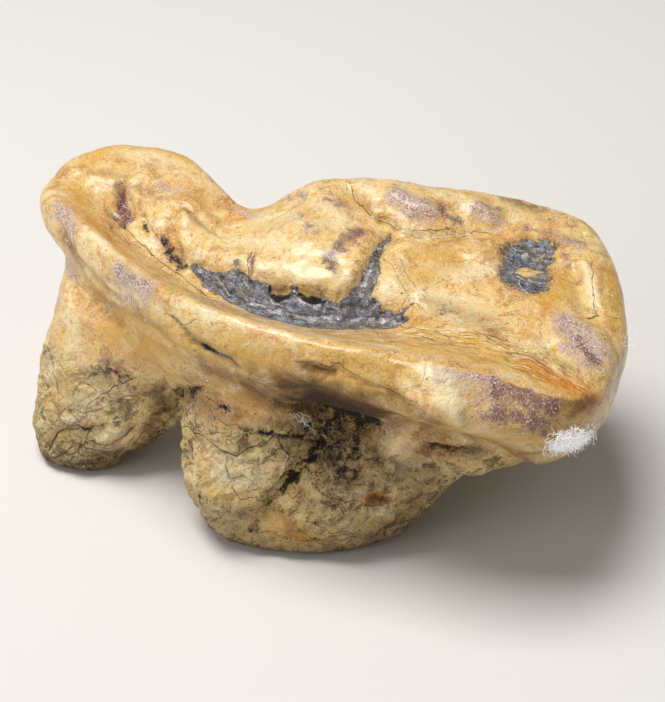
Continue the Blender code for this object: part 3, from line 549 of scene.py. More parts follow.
# the tuft lies along this line on the chipped corner, and faces this way
TUFT = (Vector((21.4, -9.2, 14.7)), Vector((23.1, -6.6, 13.5)))
TUFT_SIDE = Vector((0.45, -0.8, 0.4)).normalized()
TUFT_SPREAD, TUFT_NARROWING = 0.44, 0.2
TUFT_LEAN, TUFT_SCATTER, TUFT_CURL = 0.35, 0.8, 0.75
FIBRE_STEPS, HAIR_STEPS = 9, 10
# how deep a fibre is rooted, and how far a hair bows off the surface, in metres
FIBRE_SINK, HAIR_LIFT = 0.00005, 0.0002
# thickness as a share of the fibre radius
TUFT_SHARE, HAIR_SHARE, TIP_SHARE = 0.8, 0.5, 0.4

# loose hairs as (root, tip, how far the middle bows) in mm
HAIRS = (
    ((-3.9, 6.7, 20.2), (-3.2, 7.8, 20.8), 0.15), ((-3.8, 7, 20.2), (-3, 8, 20.7), -0.1),
    ((7.1, 11.5, 19), (6.8, 12, 19.6), 0.1), ((7.9, 10.9, 19), (7.7, 11.2, 19.6), -0.1),
    ((15, 3, 18.9), (16.3, 0.9, 19.2), 0.3), ((14.6, 3.4, 18.9), (15.4, 2.6, 19.2), 0.2),
    ((23.8, 0.8, 17), (24.2, 2.1, 17.3), 0.1), ((23.7, 1.3, 17), (23.7, 2.3, 17.4), -0.1),
    ((23.9, 0.5, 17), (24.5, 0.8, 17), 0.1), ((-6.7, -9, 9.6), (-5.9, -9.9, 10.9), 0.4),
    ((-5.9, -9.6, 10.9), (-4.9, -10.1, 10.5), 0.4), ((-6.2, -9.4, 10.4), (-5, -10.2, 10.2), -0.3),
    ((2, -9.7, 12), (2.9, -10, 11.7), 0.2), ((2.2, -9.6, 11.8), (3, -9.9, 11.3), -0.2),
    ((2.6, -9.3, 11.4), (3.3, -9.8, 11.3), 0.2), ((2.9, -9.2, 11.2), (3.6, -9.6, 10.7), 0.2),
    ((2.4, -9.5, 11.9), (3.3, -9.6, 12), -0.1), ((2.7, -9.4, 11.7), (3.1, -9.9, 11.1), 0.1),
    ((3, -9.3, 11.5), (2.5, -9.8, 11.3), 0.2), ((3.2, -9.2, 11.1), (2.8, -9.7, 10.8), 0.2),
    ((1.8, -9.8, 11.9), (2.4, -10.1, 12.1), 0.1), ((-20.6, -7.5, 7), (-20.7, -7.9, 7.7), 0.1),
    ((-14.2, -7, 19.6), (-13.6, -8, 20), 0.2),
)

# --- stage --------------------------------------------------------------------------------------

MIDDLE = Vector((0.001485, -0.00042, 0.011))
KEY_PLACE = (-0.07, -0.02, 0.32)
FILL_PLACE = (-0.18, -0.26, 0.16)
KEY_SIZE, FILL_SIZE = 0.16, 0.26
LIGHT_TINT = (1.0, 0.98, 0.95)
AIR_STRENGTH = 0.2
SENSOR_WIDTH = 36.0


# --- settings -----------------------------------------------------------------------------------


def colour_setting(name, description, default):
    return bpy.props.FloatVectorProperty(
        name=name, description=description, default=default, subtype="COLOR", min=0.0, max=1.0)


def number_setting(name, description, default, **more):
    return bpy.props.FloatProperty(name=name, description=description, default=default, **more)


def length_setting(name, description, default):
    return number_setting(name, description, default, min=0.0, unit="LENGTH", precision=5)


class MolarSettings(bpy.types.PropertyGroup):
    """Sizes and colours of the tooth."""

    grid: length_setting("Surface grid", "Size of the faces of the fine surface", 0.000235)
    cliff: number_setting(
        "Carving depth", "Strength of the carved grooves and pits", 1.0, min=0.0, max=2.0,
        subtype="FACTOR")
    crown_relief: length_setting("Crown waviness", "Height of the soft waves of the crown", 0.00012)
    root_relief: length_setting("Root lumps", "Height of the lumps of the roots", 0.00042)
    honey: colour_setting("Honey", "Main colour of the worn crown", (0.73, 0.425, 0.125))
    gold: colour_setting("Gold", "Yellow glow where the varnish is thick", (0.7, 0.4, 0.045))
    straw: colour_setting("Straw", "Paler clouds of the crown", (0.82, 0.59, 0.24))
    # cream also paints the highlights along the crest and on the bulge of the wall
    cream: colour_setting("Cream", "Pale polished enamel", (0.93, 0.8, 0.5))
    amber: colour_setting("Amber", "Warm mottles in the crown", (0.46, 0.19, 0.03))
    orange: colour_setting("Orange", "Varnish-orange streaks", (0.64, 0.21, 0.004))
    # brown is a real stain, and also painted shade in the hollows, on the lower wall and in the
    # grooves
    brown: colour_setting("Brown", "Stain in hollows", (0.115, 0.05, 0.014))
    # umber is a real stain in the talon pits, and painted shade under the overhang, along the
    # creases and at the feet
    umber: colour_setting("Umber", "Darkest stain under the overhang", (0.03, 0.016, 0.007))
    purple: colour_setting("Purple", "Wine-coloured iron stain", (0.17, 0.065, 0.06))
    pink: colour_setting("Pink", "Glittering wear facets", (0.72, 0.5, 0.44))
    slate: colour_setting("Slate", "Mineral filling of the trench", (0.205, 0.218, 0.262))
    # mist is pale flecks and painted glints on the filling
    mist: colour_setting("Mist", "Pale flecks in the filling", (0.7, 0.7, 0.75))
    # soot also paints the holes and the deepest shadow under the overhang
    soot: colour_setting("Soot", "Darkest filling and cracks", (0.012, 0.009, 0.007))
    bone: colour_setting("Bone", "Root surface", (0.79, 0.59, 0.28))
    ash: colour_setting("Ash", "Grey bloom on the roots", (0.38, 0.31, 0.165))
    # painted shade that darkens the roots towards their feet
    foot_shade: colour_setting("Loam", "Earth stain low on the roots", (0.27, 0.18, 0.075))
    smoke: colour_setting("Smoke", "Brown-grey film on the filling", (0.235, 0.18, 0.115))
    # pearl paints the glints of the wear facets
    pearl: colour_setting("Pearl", "Glints in the wear facets", (1.0, 0.93, 0.84))
    # chalk also paints the glints on the filling
    chalk: colour_setting("Chalk", "Chipped white corner", (0.95, 0.95, 0.97))


class LintSettings(bpy.types.PropertyGroup):
    """Sizes of the lint fibres."""

    count: bpy.props.IntProperty(
        name="Fibres", description="Number of fibres in the tuft", default=1300, min=1, max=4000)
    thickness: length_setting("Fibre radius", "Radius of one fibre", 0.000024)
    reach: length_setting("Fibre length", "Length of a fibre in the tuft", 0.0013)
    # the lint colour also feeds a faint painted glow
    colour: colour_setting("Fibre colour", "Colour of the lint", (0.96, 0.96, 0.97))


class StageSettings(bpy.types.PropertyGroup):
    """Floor, lights and camera."""

    floor: length_setting("Floor size", "Side of the square floor", 1.6)
    floor_colour: colour_setting("Floor colour", "Pale floor", (0.7, 0.69, 0.67))
    azimuth: number_setting(
        "Camera azimuth", "Camera direction round the tooth", math.radians(21), subtype="ANGLE")
    elevation: number_setting(
        "Camera elevation", "Camera height above the horizon", math.radians(37), subtype="ANGLE")
    distance: length_setting("Camera distance", "Camera to the middle of the tooth", 0.15)
    lens: number_setting(
        "Lens", "Focal length of the camera in mm", 100.0, subtype="DISTANCE_CAMERA")
    key: number_setting("Key light", "Power of the large light above", 1.16, unit="POWER")
    fill: number_setting("Fill light", "Power of the soft light in front", 0.34, unit="POWER")


# --- node writing -------------------------------------------------------------------------------


class Value:
    """A number socket. Arithmetic on it adds Math nodes to its tree."""

    def __init__(self, paint, socket):
        self.paint = paint
        self.socket = socket

    def __add__(self, other):
        return self.paint.maths("ADD", self, other)

    def __radd__(self, other):
        return self.paint.maths("ADD", other, self)

    def __sub__(self, other):
        return self.paint.maths("SUBTRACT", self, other)

    def __rsub__(self, other):
        return self.paint.maths("SUBTRACT", other, self)

    def __mul__(self, other):
        return self.paint.maths("MULTIPLY", self, other)

    def __abs__(self):
        return self.paint.maths("ABSOLUTE", self)

    def most(self, other):
        return self.paint.maths("MAXIMUM", self, other)

    def ramp(self, low, high, start=0.0, end=1.0):
        """Eases from start to end as the value goes from low to high."""
        return self.paint.value(
            "ShaderNodeMapRange", "Result", {"interpolation_type": "SMOOTHSTEP"},
            {"Value": self, "From Min": low, "From Max": high, "To Min": start, "To Max": end})


class Paint:
    """Writes the nodes of one material."""

    def __init__(self, name):
        self.material = bpy.data.materials.new(name)
        self.material.use_nodes = True
        self.tree = self.material.node_tree
        self.tree.nodes.clear()
        self.place = self.node("ShaderNodeTexCoord").outputs["Object"]

    def node(self, kind, settings=None, inputs=None):
        """Adds a node, laid out in rows of twelve, and fills or links its inputs."""
        row, column = divmod(len(self.tree.nodes), 12)
        node = self.tree.nodes.new(kind)
        node.location = (-200 * column, -260 * row)
        for key, setting in (settings or {}).items():
            setattr(node, key, setting)
        for key, given in (inputs or {}).items():
            socket = node.inputs[key]
            if isinstance(given, Value):
                given = given.socket
            if isinstance(given, bpy.types.NodeSocket):
                self.tree.links.new(given, socket)
            elif socket.type == "RGBA":
                socket.default_value = (*given, 1.0)
            else:
                socket.default_value = given
        return node

    def value(self, kind, output, settings, inputs):
        return Value(self, self.node(kind, settings, inputs).outputs[output])

    def maths(self, operation, *operands):
        inputs = dict(enumerate(operands))
        return self.value("ShaderNodeMath", "Value", {"operation": operation}, inputs)

    def attribute(self, name):
        settings = {"attribute_name": name, "attribute_type": "GEOMETRY"}
        return self.value("ShaderNodeAttribute", "Fac", settings, None)

    def noise(self, vector, size, detail=4.0, roughness=0.55, distortion=0.0):
        """Cloudy values round 0.5 with lumps of about size, in the units of the vector."""
        return self.value("ShaderNodeTexNoise", "Fac", {"normalize": True}, {
            "Vector": vector, "Scale": 1.0 / size, "Detail": detail, "Roughness": roughness,
            "Distortion": distortion})

    def ridged(self, vector, size, detail):
        """Sharp wandering ridges: above 1 on a ridge and lower between."""
        return self.value("ShaderNodeTexNoise", "Fac", {"noise_type": "RIDGED_MULTIFRACTAL"}, {
            "Vector": vector, "Scale": 1.0 / size, "Detail": detail, "Roughness": 0.5,
            "Offset": 1.0, "Gain": 2.0, "Distortion": 0.3})

    def dots(self, vector, size, radius):
        """Small scattered dots, about size apart. The radius is a share of size."""
        distance = self.value("ShaderNodeTexVoronoi", "Distance", {"feature": "F1"}, {
            "Vector": vector, "Scale": 1.0 / size, "Randomness": 1.0})
        return distance.ramp(radius / 2, radius, 1.0, 0.0)

    def vector(self, operation, first, second=None, scale=None):
        given = {0: first, 1: second, "Scale": scale}
        inputs = {key: value for key, value in given.items() if value is not None}
        return self.node("ShaderNodeVectorMath", {"operation": operation}, inputs).outputs["Vector"]

    def mix(self, factor, first, second):
        """The first colour where factor is 0 and the second where it is 1."""
        settings = {"data_type": "RGBA", "blend_type": "MIX", "clamp_factor": True}
        node = self.node("ShaderNodeMix", settings, {0: factor, 6: first, 7: second})
        return node.outputs[2]

    def coats(self, colour, *layers):
        """Lays (mask, coat) layers over a colour, the first at the bottom."""
        for mask, coat in layers:
            colour = self.mix(mask, colour, coat)
        return colour

    def finish(self, inputs, settings=None):
        """Ends the tree in a shader with these inputs, and gives the material."""
        shader = self.node("ShaderNodeBsdfPrincipled", settings, inputs)
        self.node("ShaderNodeOutputMaterial", None, {"Surface": shader.outputs["BSDF"]})
        return self.material


def tooth_material(look):
    """Aged enamel and dentine: honey and cream, stains, black filling, cracks and bone roots."""
    p = Paint("aged enamel and bone")
    mm = p.vector("SCALE", p.place, scale=1.0 / MM)
    height = p.value("ShaderNodeSeparateXYZ", "Z", None, {"Vector": mm})
    field = {name: p.attribute(name) for name in CHANNELS}

    cloud = p.noise(mm, 5.2, 5, 0.6, 1)
    mottle = p.noise(mm, 1.9, 9, 0.7, 0.8)
    speck = p.noise(mm, 0.55, 6, 0.68, 0.3)
    grain = p.noise(mm, 0.15, 3, 0.6)

    # mineral veils swirl, so their edges are looked up in a bent space
    swirl = {"Vector": mm, "Scale": 0.8, "Detail": 3.0}
    bend = p.node("ShaderNodeTexNoise", None, swirl).outputs["Color"]
    bent = p.vector("ADD", mm, p.vector("SCALE", bend, scale=1.8))
    vein = p.noise(bent, 1, 5, 0.66, 0.8)
    drift = p.noise(bent, 0.75, 3)
    thread = p.noise(bent, 0.36, 2, 0.5)

    # the roots are wrinkled along a slant
    slant = p.node("ShaderNodeMapping", {"vector_type": "TEXTURE"}, {
        "Vector": p.vector("ADD", mm, p.vector("SCALE", bend, scale=1.1)),
        "Rotation": (0.0, -0.6, 0.0), "Scale": (3.0, 1.6, 1.0)}).outputs["Vector"]
    wrinkle = p.ridged(slant, 1.9, 4)
    wrinkle_fine = p.ridged(slant, 0.8, 3)

    # wear lines run along the slope
    stretched = {"X": p.attribute("flow_along") * 0.13, "Y": p.attribute("flow_across")}
    slope = p.node("ShaderNodeCombineXYZ", None, stretched).outputs["Vector"]
    streak = p.noise(slope, 0.5, 5, 0.62, 0.25)
    fine_streak = p.noise(slope, 0.17, 4, 0.62, 0.15)

    def ragged(name, veil, spread, ease):
        """The mark's mask, its edge broken up by a veil of noise."""
        return (field[name] + (veil - 0.5) * spread).ramp(0.5 - ease, 0.5 + ease)

    def contour(veil, level, width):
        """Thin wandering lines where a veil crosses a level."""
        return abs(veil - level).ramp(0, width, 1, 0)

    crown = p.coats(
        look.honey,
        (cloud.ramp(0.4, 0.58), look.straw),
        (mottle.ramp(0.5, 0.6) * 0.8, look.amber),
        (mottle.ramp(0.46, 0.36) * 0.7, look.cream),
        (vein.ramp(0.54, 0.66) * 0.5, look.pink),
        (vein.ramp(0.45, 0.36) * 0.6, look.gold),
        (speck.ramp(0.52, 0.64) * 0.55, look.straw),
        (speck.ramp(0.46, 0.35) * 0.5, look.amber),
        (grain.ramp(0.53, 0.66) * mottle.ramp(0.4, 0.56) * 0.55, look.amber),
        (grain.ramp(0.46, 0.34) * 0.45, look.cream),
        # pale threads: fine scratches in the enamel, partly painted glints
        (contour(thread, 0.5, 0.03) * mottle.ramp(0.48, 0.56) * 0.5, look.cream),
        (contour(drift, 0.5, 0.012) * vein.ramp(0.5, 0.6) * 0.45, look.brown),
    )

    # painted shade: the roots grow darker towards their feet
    low = (height + (mottle - 0.5) * 9).ramp(0.5, 6.5, 1, 0)
    lines = wrinkle.ramp(1.38, 1.58) * mottle.ramp(0.4, 0.54)
    lines = lines.most(wrinkle_fine.ramp(1.34, 1.56) * vein.ramp(0.44, 0.56) * 0.8)
    lines = lines * speck.ramp(0.4, 0.54, 0.3, 1)
    lines = lines.most(contour(vein, 0.5, 0.01) * mottle.ramp(0.46, 0.56) * 0.8)
    pores = speck.ramp(0.6, 0.68) * grain.ramp(0.46, 0.58)
    dusk = (vein - 0.5) * 1.2 + (speck - 0.5) * 1.2
    bone = p.coats(
        look.bone,
        (cloud.ramp(0.4, 0.62), look.straw),
        (mottle.ramp(0.5, 0.66) * 0.22, look.ash),
        (vein.ramp(0.54, 0.68) * 0.35, look.pink),
        (speck.ramp(0.52, 0.66) * 0.4, look.cream),
        (vein.ramp(0.46, 0.36) * 0.55, look.cream),
        (low * 0.72, look.foot_shade),
        (dusk.ramp(0.1, 0.34) * 0.3, look.ash),
        (grain.ramp(0.54, 0.66) * speck.ramp(0.44, 0.54) * 0.4, look.brown),
        (lines * 0.75, look.umber),
        (pores * 0.6, look.soot),
    )
    root = (field["root"] + (mottle - 0.5) * 0.9).ramp(0.3, 0.8)

    # stains, with painted shade in the hollows, painted deepest shadow and painted glints
    lined = field["flow"].ramp(0.2, 0.8)
    broken = mottle * 0.6 + speck * 0.8 - 0.2
    clouded = vein * 0.8 + speck * 0.8 + grain * 0.3 - 0.45
    combed = clouded + (streak - clouded) * lined
    facet = ragged("pink", clouded, 1.2, 0.32)
    # brown stain together with painted shade in the hollow, on the lower wall and along the grooves
    stain = ragged("brown", mottle, 0.9, 0.48)
    # umber: the talon-pit stain, and painted shade in the hollow, along the creases and at the feet
    umber = ragged("umber", clouded, 0.9, 0.45)
    wine = ragged("purple", clouded, 1.5, 0.24)
    # holes, and painted deepest shadow in the hollow under the overhang
    hole_and_shadow = ragged("black", speck, 0.9, 0.2)
    chalky = ragged("chalk", speck, 0.9, 0.15)
    # painted glints: white sparkle on the wear facets and on the wine stain
    painted_glints = (facet * grain.ramp(0.51, 0.6)).most(wine * grain.ramp(0.56, 0.64) * 0.5)
    painted_glints = painted_glints.most(facet * contour(thread, 0.52, 0.012) * 0.7)
    sooty = (
        field["speckle"] * 1.1 + (vein - 0.5) * 1.3 + (speck - 0.5) * 1.4 + (grain - 0.5) * 0.9)
    sooty = sooty.ramp(0.5, 0.8) * field["speckle"].ramp(0, 0.12)

    # filling
    filled = ragged("dark", clouded, 1.6, 0.1)
    halo = field["dark"].ramp(0.02, 0.45) * (1 - filled)
    film = (vein.ramp(0.48, 0.58) * 0.55).most(field["grey"].ramp(0.2, 0.8) * 0.85)
    filling = p.coats(
        look.soot,
        ((speck + (mottle - 0.5) * 0.8).ramp(0.3, 0.48), look.slate),
        (film, look.smoke),
        (fine_streak.ramp(0.53, 0.61) * 0.55, look.soot),
        # pale flecks, threads and grains on the filling: partly pale mineral, partly painted glints
        (fine_streak.ramp(0.46, 0.38) * speck.ramp(0.44, 0.54) * 0.55, look.mist),
        (contour(thread, 0.5, 0.03) * speck.ramp(0.46, 0.56) * 0.8, look.mist),
        (grain.ramp(0.58, 0.66) * speck.ramp(0.5, 0.6) * 0.85, look.chalk),
    )

    # hairline cracks
    crack = abs(p.attribute("crack_across") + (grain - 0.5) * 0.1 + (speck - 0.5) * 0.36)
    hair = crack.ramp(0, 0.045 + root * 0.05, 1, 0) * p.attribute("crack_near")
    hair = hair * mottle.ramp(0.36, 0.5, 0.35, 1)

    dirt = p.dots(mm, 1.1, 0.1)
    dust = p.dots(p.vector("ADD", mm, (3.7, 1.9, 5.3)), 1.7, 0.06)

    colour = p.coats(
        crown,
        (root, bone),
        (ragged("cream", broken, 1.7, 0.38) * 0.82, look.cream),
        (ragged("gold", broken, 0.9, 0.45) * 0.8, look.gold),
        (ragged("orange", combed, 1.2, 0.4) * 0.95, look.orange),
        (ragged("grey", speck, 1.1, 0.3) * 0.78, look.ash),
        (facet * 0.8, look.pink),
        (facet * grain.ramp(0.5, 0.4) * vein.ramp(0.4, 0.54) * 0.85, look.purple),
        (stain * 0.92, look.brown),
        (umber * 0.95, look.umber),
        (wine * 0.88, look.purple),
        (wine * grain.ramp(0.5, 0.62) * 0.6, look.pink),
        (painted_glints * 0.92, look.pearl),
        (streak.ramp(0.5, 0.62) * lined * 0.5, look.amber),
        (streak.ramp(0.46, 0.36) * lined * 0.55, look.gold),
        (fine_streak.ramp(0.57, 0.63) * lined * 0.75, look.brown),
        (fine_streak.ramp(0.44, 0.36) * lined * 0.7, look.cream),
        (filled, filling),
        (halo * 0.25, look.brown),
        (hole_and_shadow * 0.97, look.soot),
        (sooty * 0.92, look.soot),
        (hair * 0.95, p.mix(root, look.umber, look.soot)),
        (dirt * 0.75, look.brown),
        (dust * 0.8, look.chalk),
        (chalky * 0.97, look.chalk),
    )

    dull = (hole_and_shadow + umber * 0.9 + stain * 0.6 + sooty * 0.5).ramp(0, 1)
    rough = 0.4 + (grain - 0.5) * 0.4 + root * 0.18 + chalky * 0.35 + dull * 0.45 - filled * 0.12
    rough = rough - painted_glints * 0.2
    coat = (0.45 - root * 0.35 - chalky * 0.55 - dull * 0.8 + (speck - 0.5) * 0.9).most(0)
    relief = (
        mottle * 1.2 + speck * 2.1 + grain * 0.55 + painted_glints * 0.5
        + fine_streak * lined * 0.9 + streak * lined
        - lines * root * 1.6 - pores * root * 0.6 - hair * 1.2 - filled * 0.5
        + filled * speck * 2.4 + filled * grain * 0.8 + filled * fine_streak * 0.8
        + root * speck * 1.6 + root * grain * 0.45 - root * wrinkle_fine * 0.3
        + chalky * grain * 1.4
    )
    bump = p.node("ShaderNodeBump", None, {"Height": relief, "Strength": 1, "Distance": 0.00011})
    return p.finish({
        "Base Color": colour, "Roughness": rough, "Coat Weight": coat, "Coat Roughness": 0.16,
        "IOR": 1.52, "Specular IOR Level": 0.35, "Subsurface Weight": 0.08,
        "Subsurface Radius": (1.0, 0.55, 0.25), "Subsurface Scale": 0.0006,
        "Normal": bump.outputs["Normal"]}, {"subsurface_method": "RANDOM_WALK"})


def lint_material(look):
    """Chalk-white cotton fibres, with a faint painted glow for the light they scatter."""
    p = Paint("white lint")
    cloud = p.noise(p.vector("SCALE", p.place, scale=1.0 / MM), 0.6, 2)
    return p.finish({
        "Base Color": p.mix(cloud.ramp(0.3, 0.7), look.colour, (0.93, 0.92, 0.92)),
        # painted glow: the fibres shine faintly without a lamp, standing in for scattered light
        "Roughness": 0.8, "Sheen Weight": 0.6, "Emission Color": look.colour,
        "Emission Strength": 0.16})


def floor_material(look):
    """Plain pale paper."""
    p = Paint("pale paper")
    pale = tuple(look.floor_colour)
    shade = tuple(part * 0.97 for part in pale)
    colour = p.mix(p.noise(p.place, 0.2, 2), pale, shade)
    return p.finish({"Base Color": colour, "Roughness": 0.85})


# --- mesh work ----------------------------------------------------------------------------------


def deselect():
    bpy.ops.object.select_all(action="DESELECT")


def make_active(piece):
    deselect()
    piece.hide_set(False)
    piece.select_set(True)
    bpy.context.view_layer.objects.active = piece


def new_object(name, data):
    piece = bpy.data.objects.new(name, data)
    bpy.context.scene.collection.objects.link(piece)
    return piece


def finish_surface(piece, material):
    """Shades the piece smooth and gives it its one material."""
    make_active(piece)
    bpy.ops.object.shade_smooth()
    piece.data.materials.append(material)


def apply_modifier(piece, kind, **settings):
    make_active(piece)
    modifier = piece.modifiers.new(kind, kind)
    for key, setting in settings.items():
        setattr(modifier, key, setting)
    bpy.ops.object.modifier_apply(modifier=modifier.name)


def read_vectors(items, name):
    flat = np.zeros(len(items) * 3)
    items.foreach_get(name, flat)
    return flat.reshape(-1, 3)


def read_surface(mesh):
    """Points and normals, one row for each vertex."""
    return read_vectors(mesh.vertices, "co"), read_vectors(mesh.vertex_normals, "vector")


def write_points(mesh, points):
    mesh.vertices.foreach_set("co", points.ravel())
    mesh.update()


def ease(values, low, high):
    t = np.clip((values - low) / (high - low), 0, 1)
    return t * t * (3 - 2 * t)


def wander(points):
    """Sideways slips of a fraction of a millimetre, so that no outline stays smooth."""
    return sum(
        np.array([noise.noise_vector(Vector(p)) for p in points / (MM * size)]) * reach
        for size, reach in WANDER)


def seen_from_sides(points, normals):
    """For each side, the flat coordinates in mm and how much each point faces that side."""
    mm = points / MM
    slipped = mm + wander(points)
    top = ease(normals[:, 2], *TOP_LEAN) * ease(mm[:, 2], *TOP_HEIGHT)
    crest_x, crest_y = np.array(CREST).T
    beyond = np.interp(slipped[:, 0], crest_x, crest_y) - slipped[:, 1]
    outer = np.maximum(ease(beyond, -CREST_EASE, CREST_EASE), ease(OVERHANG - mm[:, 2], 0, 1))
    near = ease(-normals[:, 1], *NEAR_LEAN) * ease(-mm[:, 1], *NEAR_DEPTH) * outer
    return {"top": (slipped[:, :2], top), "near": (slipped[:, (0, 2)], near)}


def nearest(flat, path):
    """Distance to a polyline, signed side of it, length along it, and the radius there."""
    best = np.full(len(flat), 1e9)
    sign, along, radius = np.zeros((3, len(flat)))
    start_length = 0.0
    for first, second in zip(path, path[1:]):
        a = np.array(first[:2])
        b = np.array(second[:2])
        edge = b - a
        length = float(np.hypot(*edge))
        t = np.clip(((flat - a) @ edge) / length**2, 0, 1)
        offset = flat - (a + t[:, None] * edge)
        distance = np.hypot(offset[:, 0], offset[:, 1])
        r = first[2] + t * (second[2] - first[2]) if len(first) > 2 else 0.0
        closer = distance - r < best - radius
        best = np.where(closer, distance, best)
        side = np.sign(edge[0] * offset[:, 1] - edge[1] * offset[:, 0])
        sign = np.where(closer, side, sign)
        along = np.where(closer, start_length + t * length, along)
        radius = np.where(closer, r, radius)
        start_length += length
    return best, sign, along, radius


def stroke(flat, path, soft):
    """One inside the stroke, a half on its outline and nothing beyond it, over twice soft mm."""
    distance, _, _, radius = nearest(flat, path)
    return np.clip(0.5 - (distance - radius) / (2 * soft), 0, 1)


def inside(flat, outline):
    """True for the points within a closed outline."""
    x, y = flat.T
    found = np.zeros(len(flat), bool)
    for (ax, ay), (bx, by) in zip(outline, outline[1:] + outline[:1]):
        if ay != by:
            found ^= ((ay > y) != (by > y)) & (x < (bx - ax) * (y - ay) / (by - ay) + ax)
    return found


def area(flat, outline, soft):
    """One inside the outline, a half on it and nothing beyond it, over twice soft mm."""
    distance = nearest(flat, outline + outline[:1])[0]
    depth = np.where(inside(flat, outline), distance, -distance)
    return np.clip(0.5 + depth / (2 * soft), 0, 1)


def lip_height(flat):
    """Rise in mm that keeps the plateau level as far as the rim, where it breaks off."""
    distance, sign, along, _ = nearest(flat, RIM)
    ends = ease(along, *RIM_START) * (1 - ease(along, *RIM_END))
    edge = ends * ease(sign * distance, *RIM_EDGE)
    return edge * (1 - ease(distance, 0, LIP_REACH)) * LIP_RISE


def lumps(points, size, octaves, seed):
    """Cloudy values from about -1 to 1 with lumps of size mm."""
    shift = Vector((seed * 7.3, seed * 3.1, seed * 5.7))
    places = points / (MM * size)
    return np.array([noise.fractal(Vector(p) + shift, 0.9, 2.1, octaves) for p in places])


def ridges(points, size, seed):
    """Values near 1 along thin wandering ridges and near 0 elsewhere."""
    shift = Vector((seed * 2.9, seed * 8.3, seed * 1.7))
    places = points / (MM * size)
    return 1 - np.abs(np.array([noise.noise(Vector(p) + shift) for p in places])) * 2


def root_weight(points):
    """Nothing on the crown and one on the roots, with the neck between them."""
    mm = points / MM
    neck = NECK + NECK_WAVE * np.sin(mm[:, 0] * 0.35 + 0.6)
    return 1 - ease(mm[:, 2], neck - NECK_BELOW, neck + NECK_ABOVE)


def carve(points, normals, look):
    """Moves the points along their normals for the carved strokes, waves and lumps."""
    sides = seen_from_sides(points, normals)
    rise = np.zeros(len(points))
    for side, strokes in CARVINGS.items():
        flat, facing = sides[side]
        for soft, height, *path in strokes:
            rise += ease(stroke(flat, path, soft), 0, 1) * facing * height * look.cliff
    root = root_weight(points)
    waves = lumps(points, size=3.4, octaves=3, seed=1)
    small = lumps(points, size=1.1, octaves=3, seed=2)
    wrinkle = np.clip(ridges(points, size=1.5, seed=3) - 0.6, 0, 1)
    crown = 1 - root
    rise += (waves * crown * look.crown_relief + small * crown * look.crown_relief * 0.35) / MM
    rise += (waves * 0.5 + small * 0.55 - wrinkle * 0.9) * root * look.root_relief / MM
    flat, facing = sides["top"]
    patch = area(flat, PATCH, 0.3)
    rise -= patch * PATCH_DEPTH * facing * look.cliff
    rough_fill = np.maximum(area(flat, FILLING, 0.2), patch) * facing
    rise += rough_fill * lumps(points, size=0.8, octaves=2, seed=4) * FILL_ROUGHNESS
    keep_foot = ease(points[:, 2] / MM, 0, FOOT)
    moved = points + normals * (rise * keep_foot * MM)[:, None]
    moved[:, 2] += lip_height(flat) * facing * look.cliff * MM
    return moved


def mark_fields(sides, points):
    """Each kind of mark as a soft value from 0 to 1 at every point."""
    fields = {name: np.zeros(len(points)) for name in CHANNELS}
    for (kind, side), strokes in MARKS.items():
        flat, facing = sides[side]
        for soft, strength, *path in strokes:
            shade = stroke(flat, path, soft) * facing * strength
            fields[kind] = np.maximum(fields[kind], shade)
    flat, facing = sides["top"]
    for outline, soft in ((FILLING, FILLING_SOFT), (PATCH, PATCH_SOFT)):
        fields["dark"] = np.maximum(fields["dark"], area(flat, outline, soft) * facing)
    fields["dark"] *= 1 - area(flat, ISLAND, ISLAND_SOFT)
    fields["root"] = root_weight(points)
    return fields


def crack_fields(sides, points):
    """Signed distance to the nearest crack, and how strongly it shows here."""
    best, across = np.full((2, len(points)), FAR)
    weight = np.zeros(len(points))
    for side, cracks in CRACKS.items():
        flat, facing = sides[side]
        for strength, *path in cracks:
            distance, sign, _, _ = nearest(flat, path)
            distance = np.where(facing > 0.5, distance, FAR)
            closer = distance < best
            best = np.where(closer, distance, best)
            across = np.where(closer, sign * distance, across)
            weight = np.where(closer, facing * strength, weight)
    shown = (1 - ease(best, *CRACK_FADE)) * weight
    return {"crack_across": np.clip(across, -CRACK_LIMIT, CRACK_LIMIT), "crack_near": shown}


def paint_fields(mesh):
    """Writes marks, cracks and wear lines to the mesh as fields that the material reads."""
    points, normals = read_surface(mesh)
    sides = seen_from_sides(points, normals)
    distance, sign, along, _ = nearest(sides["top"][0], FLOW_LINE)
    fields = {
        **mark_fields(sides, points), **crack_fields(sides, points),
        "flow_along": along, "flow_across": sign * distance,
    }
    for name, values in fields.items():
        attribute = mesh.attributes.new(name, "FLOAT", "POINT")
        attribute.data.foreach_set("value", np.ascontiguousarray(values, dtype=np.float32))


def fit_to_box(mesh, box):
    """Stretches the mesh by a hair so that it fills the solid's own box."""
    low, high = (np.array(corner) for corner in box)
    points = read_vectors(mesh.vertices, "co")
    least = points.min(axis=0)
    most = points.max(axis=0)
    write_points(mesh, low + (points - least) * (high - low) / (most - least))


